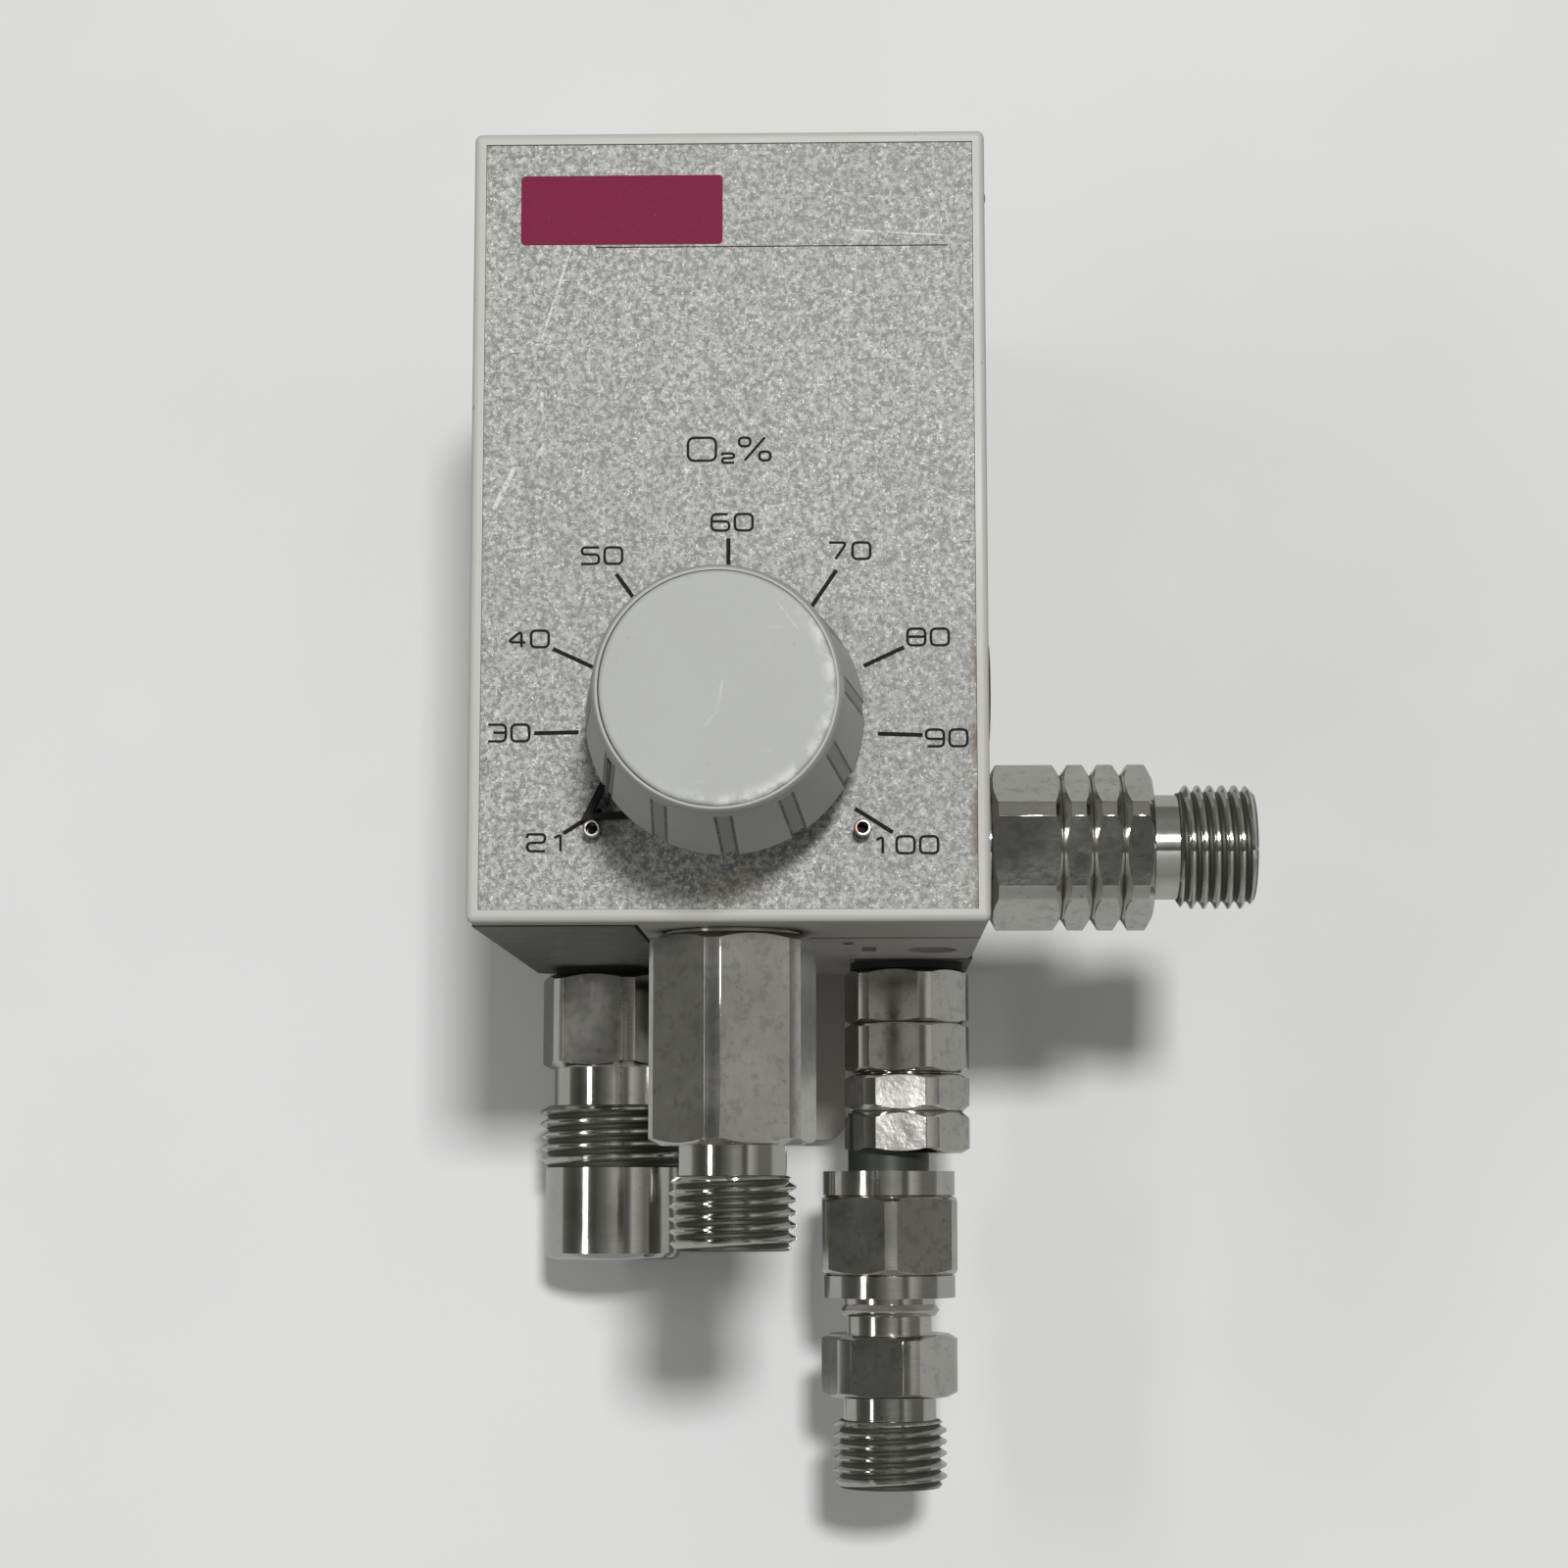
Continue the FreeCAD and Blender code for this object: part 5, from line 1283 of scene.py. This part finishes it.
# Rib of the pointer along the knob's flute, and how it follows the knob's taper
KNOB_FOOT = 9.0 * MM
RIB_FOOT = 1.5 * MM
RIB_TOP = 25.5 * MM
RIB_BASE = 14.62 * MM
RIB_TAPER = 0.1087
RIB_WIDTH = 0.7 * MM
RIB_DEPTH = 0.3 * MM
KNOB_EDGE = 0.1 * MM
CAP_EDGE = 0.05 * MM


class GAS_OT_knob(bpy.types.Operator):
    """Fluted knob, its cap, the pointer and the two stop pins"""
    bl_idname = "gas.knob"
    bl_label = "Knob and pointer"

    def execute(self, context):
        knob = soft_copy("control_knob", KNOB_EDGE, 3)
        dress_node(knob, "control_knob", "_moulded", "knob_grey")
        self.pointer()
        self.cap()
        self.pins()
        return {"FINISHED"}

    def pointer(self):
        """Pointer with its window as wide as it looks, and its rib lying along the knob's flute."""
        bm = mesh_of("pointer")
        upright = Matrix.Rotation(-POINTER_TURN, 4, "Y") @ Matrix.Translation(-DIAL_CENTRE)
        bmesh.ops.transform(bm, matrix=upright, verts=bm.verts)
        loose = [vert for vert in bm.verts if vert.co.y < -POINTER_FRONT
                 and math.hypot(vert.co.x, vert.co.z) > POINTER_PLATE]
        bmesh.ops.delete(bm, geom=loose, context="VERTS")
        bmesh.ops.holes_fill(bm, edges=[edge for edge in bm.edges if edge.is_boundary], sides=12)
        for vert in bm.verts:
            if abs(vert.co.x) < WINDOW_HALF and WINDOW_LOW < vert.co.z < WINDOW_HIGH:
                vert.co.x *= WINDOW_SPREAD
                vert.co.z = WINDOW_MIDDLE + WINDOW_LIFT + (vert.co.z - WINDOW_MIDDLE) * WINDOW_SPREAD
        made = bmesh.ops.create_cube(bm, size=1)
        for vert in made["verts"]:
            rise = RIB_TOP if vert.co.y < 0 else RIB_FOOT
            reach = RIB_BASE - RIB_TAPER * (rise - KNOB_FOOT)
            vert.co = Vector((vert.co.x * RIB_WIDTH, -rise, reach + (vert.co.z + 0.5) * RIB_DEPTH))
        bmesh.ops.transform(bm, matrix=upright.inverted(), verts=bm.verts)
        dress_node(bm, "pointer", "_moulded", "black_plastic")

    def cap(self):
        """Flat cap, pressed against the upper right of its recess so that a gap shows at the lower left."""
        bm = soft_copy("knob_cap", CAP_EDGE, 3)
        centre = Vector((0, 0, DIAL_CENTRE.z))
        bmesh.ops.translate(bm, vec=-centre, verts=bm.verts)
        bmesh.ops.scale(bm, vec=(CAP_SPREAD, 1, CAP_SPREAD), verts=bm.verts)
        bmesh.ops.translate(bm, vec=centre + CAP_SHIFT, verts=bm.verts)
        dress_node(bm, "knob_cap", "_moulded", "cap_grey")

    def pins(self):
        low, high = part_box("stop_pins")
        radius = (high.z - low.z) / 2
        length = high.y - low.y
        bore = radius * PIN_BORE_SHARE
        bm = bmesh.new()
        for side in (-1, 1):
            pin = turned_shell([(0, 0), (radius, 0), (radius, length - PIN_CHAMFER),
                                (radius - PIN_CHAMFER, length), (bore + 0.06 * MM, length),
                                (bore, length - 0.08 * MM), (bore, length - PIN_BORE_DEPTH),
                                (0, length - PIN_BORE_DEPTH)], PIN_STEPS)
            bmesh.ops.recalc_face_normals(pin, faces=pin.faces)
            move = Matrix.Translation((side * (high.x - radius), high.y, (low.z + high.z) / 2))
            bmesh.ops.transform(pin, matrix=move @ Matrix.Rotation(math.pi / 2, 4, "X"), verts=pin.verts)
            take(bm, pin)
        dress_node(bm, "stop_pins", "_turned", "pin_steel")


# Stage

# Facets of the sheet's bend, and the sheet's gap behind the bracket
SHEET_STEPS = 12
SHEET_GAP = 0.4 * MM
LAMP_TARGET = Vector((0, -0.05, -0.03))


class GAS_OT_stage(bpy.types.Operator):
    """Camera, pale sheet, lamps and surroundings"""
    bl_idname = "gas.stage"
    bl_label = "Stage"

    def execute(self, context):
        self.camera(context.scene)
        self.sheet()
        lights = context.scene.gas_lights
        self.lamp("front_lamp", 7, 13.2, 1.7, (0.19, 0.15), lights.front_power)
        self.lamp("side_lamp", -46, 6, 1.0, (0.12, 0.5), lights.side_power)
        self.room(context.scene, lights.room_level)
        context.scene.view_settings.view_transform = "Standard"
        return {"FINISHED"}

    def camera(self, scene):
        data = bpy.data.cameras.new("view_camera")
        data.sensor_width = CAMERA_SENSOR
        data.lens = CAMERA_LENS
        data.clip_start = 0.01
        camera = bpy.data.objects.new("view_camera", data)
        back = -CAMERA_FORWARD.normalized()
        right = CAMERA_UP.cross(back).normalized()
        up = back.cross(right)
        turned = Matrix((right, up, back)).transposed()
        camera.matrix_world = Matrix.Translation(CAMERA_PLACE) @ turned.to_4x4()
        scene.collection.objects.link(camera)
        scene.camera = camera

    def sheet(self):
        """Wall behind the bracket that curves into a floor below."""
        wall_top, floor_level, bend, reach, half = 0.7, -0.32, 0.16, 1.2, 1.1
        profile = [(0, wall_top), (0, floor_level + bend)]
        for index in range(1, SHEET_STEPS + 1):
            angle = math.pi / 2 * index / SHEET_STEPS
            profile.append((-bend * (1 - math.cos(angle)), floor_level + bend * (1 - math.sin(angle))))
        profile.append((-reach, floor_level))
        bm = from_points([(-half, across, height) for across, height in profile])
        made = bmesh.ops.extrude_edge_only(bm, edges=bm.edges[:])
        moved = [item for item in made["geom"] if isinstance(item, bmesh.types.BMVert)]
        bmesh.ops.translate(bm, vec=(2 * half, 0, 0), verts=moved)
        bmesh.ops.recalc_face_normals(bm, faces=bm.faces)
        if sum(face.normal.y for face in bm.faces) > 0:
            bmesh.ops.reverse_faces(bm, faces=bm.faces)
        bmesh.ops.translate(bm, vec=(0, SHEET_GAP, 0), verts=bm.verts)
        for face in bm.faces:
            face.smooth = True
        mesh = bpy.data.meshes.new("pale_sheet")
        bm.to_mesh(mesh)
        bm.free()
        mesh.materials.append(finish_for("pale_sheet"))
        sheet = bpy.data.objects.new("pale_sheet", mesh)
        bpy.context.scene.collection.objects.link(sheet)

    def lamp(self, name, azimuth, elevation, distance, size, power):
        """Upright lamp; azimuth is to the right of the front and elevation above level, in degrees."""
        data = bpy.data.lights.new(name, "AREA")
        data.shape = "RECTANGLE"
        data.size, data.size_y = size
        data.energy = power
        lamp = bpy.data.objects.new(name, data)
        side, rise = math.radians(azimuth), math.radians(elevation)
        away = Vector((math.sin(side) * math.cos(rise), -math.cos(side) * math.cos(rise), math.sin(rise)))
        turned = away.to_track_quat("Z", "Y").to_matrix().to_4x4()
        lamp.matrix_world = Matrix.Translation(LAMP_TARGET + away * distance) @ turned
        bpy.context.scene.collection.objects.link(lamp)

    def room(self, scene, level):
        """Grey surroundings: brighter overhead and to the right, darker on the left."""
        scene.world = bpy.data.worlds.new("room")
        scene.world.use_nodes = True
        wiring = Wiring(scene.world.node_tree)
        side, depth, height = wiring.axes(wiring.node("TexCoord").outputs["Generated"])
        turn = wiring.math("ARCTAN2", side, wiring.times(depth, -1))
        share = wiring.node("MapRange", Value=turn, From_Min=-math.pi, From_Max=math.pi)
        around = wiring.node("ValToRGB", Fac=share.outputs[0])
        self.fill(around.color_ramp, [(0.5 + angle / 360, colour) for angle, colour in ROOM_AROUND])
        upward = wiring.node("MapRange", Value=height, From_Min=-1)
        rise = wiring.node("ValToRGB", Fac=upward.outputs[0])
        self.fill(rise.color_ramp, ROOM_RISE)
        background = wiring.tree.nodes["Background"]
        background.inputs["Strength"].default_value = level
        wiring.wire(wiring.mix(rise.outputs["Alpha"], around.outputs["Color"], rise.outputs["Color"]),
                    background.inputs["Color"])

    def fill(self, ramp, stops):
        """Sets a ramp's stops, as (place, colour) or (place, colour, share)."""
        while len(ramp.elements) > 1:
            ramp.elements.remove(ramp.elements[-1])
        for index, stop in enumerate(stops):
            element = ramp.elements[0] if index == 0 else ramp.elements.new(stop[0])
            element.position = stop[0]
            element.color = (*stop[1], stop[2] if len(stop) > 2 else 1)


# Surroundings at eye level, by degrees to the right of the front
ROOM_AROUND = (
    (-180, (0.3, 0.3, 0.3)), (-104, (0.3, 0.3, 0.29)), (-80, (0.1, 0.1, 0.09)), (-66, (0.06, 0.06, 0.055)),
    (-45, (0.12, 0.12, 0.11)), (-28, (0.06, 0.06, 0.055)), (-10, (0.18, 0.18, 0.17)),
    (6, (0.34, 0.34, 0.32)), (20, (0.3, 0.3, 0.28)), (25, (0.1, 0.1, 0.095)), (32, (0.14, 0.14, 0.13)),
    (38, (0.6, 0.59, 0.55)), (60, (0.2, 0.195, 0.18)), (85, (0.2, 0.2, 0.19)), (110, (0.3, 0.3, 0.29)),
    (180, (0.3, 0.3, 0.3)),
)
# Floor and ceiling, by height from -1 to 1 as a share, with how far they hide the surroundings
ROOM_RISE = (
    (0.0, (0.12, 0.12, 0.12), 1.0), (0.1, (0.04, 0.04, 0.04), 1.0), (0.3, (0.05, 0.05, 0.05), 1.0),
    (0.44, (0.07, 0.07, 0.07), 0.85), (0.49, (0.2, 0.2, 0.2), 0.0), (0.62, (0.4, 0.4, 0.38), 0.1),
    (0.7, (0.25, 0.25, 0.24), 0.9), (0.9, (0.3, 0.3, 0.29), 1.0), (1.0, (0.2, 0.2, 0.19), 1.0),
)


class GAS_PT_panel(bpy.types.Panel):
    """Lists the steps that dress the object."""
    bl_idname = "GAS_PT_panel"
    bl_label = "Air oxygen blender"
    bl_space_type = "VIEW_3D"
    bl_region_type = "UI"
    bl_category = "Gas Blender"

    def draw(self, context):
        for operator in OPERATORS:
            self.layout.operator(operator.bl_idname)
        for group in (context.scene.gas_edges, context.scene.gas_threads, context.scene.gas_dial,
                      context.scene.gas_colours, context.scene.gas_lights):
            box = self.layout.box()
            for name in group.__annotations__:
                box.prop(group, name)


OPERATORS = (GAS_OT_stage, GAS_OT_castings, GAS_OT_inlet_blocks, GAS_OT_label_print, GAS_OT_knob,
             GAS_OT_side_details, GAS_OT_primary_outlet, GAS_OT_auxiliary_outlet, GAS_OT_air_inlet,
             GAS_OT_oxygen_inlet, GAS_OT_inner_parts)
GROUPS = {"gas_edges": EdgeSettings, "gas_threads": ThreadSettings, "gas_dial": DialSettings,
          "gas_colours": ColourSettings, "gas_lights": LightSettings}


def register():
    for name, group in GROUPS.items():
        bpy.utils.register_class(group)
        setattr(bpy.types.Scene, name, PointerProperty(type=group))
    for item in OPERATORS + (GAS_PT_panel,):
        bpy.utils.register_class(item)


def unregister():
    for item in reversed(OPERATORS + (GAS_PT_panel,)):
        bpy.utils.unregister_class(item)
    for name, group in reversed(GROUPS.items()):
        delattr(bpy.types.Scene, name)
        bpy.utils.unregister_class(group)


def main():
    register()
    bpy.ops.gas.stage()
    bpy.ops.gas.castings()
    bpy.ops.gas.inlet_blocks()
    bpy.ops.gas.label_print()
    bpy.ops.gas.knob()
    bpy.ops.gas.side_details()
    bpy.ops.gas.primary_outlet()
    bpy.ops.gas.auxiliary_outlet()
    bpy.ops.gas.air_inlet()
    bpy.ops.gas.oxygen_inlet()
    bpy.ops.gas.inner_parts()


if __name__ == "__main__":
    main()
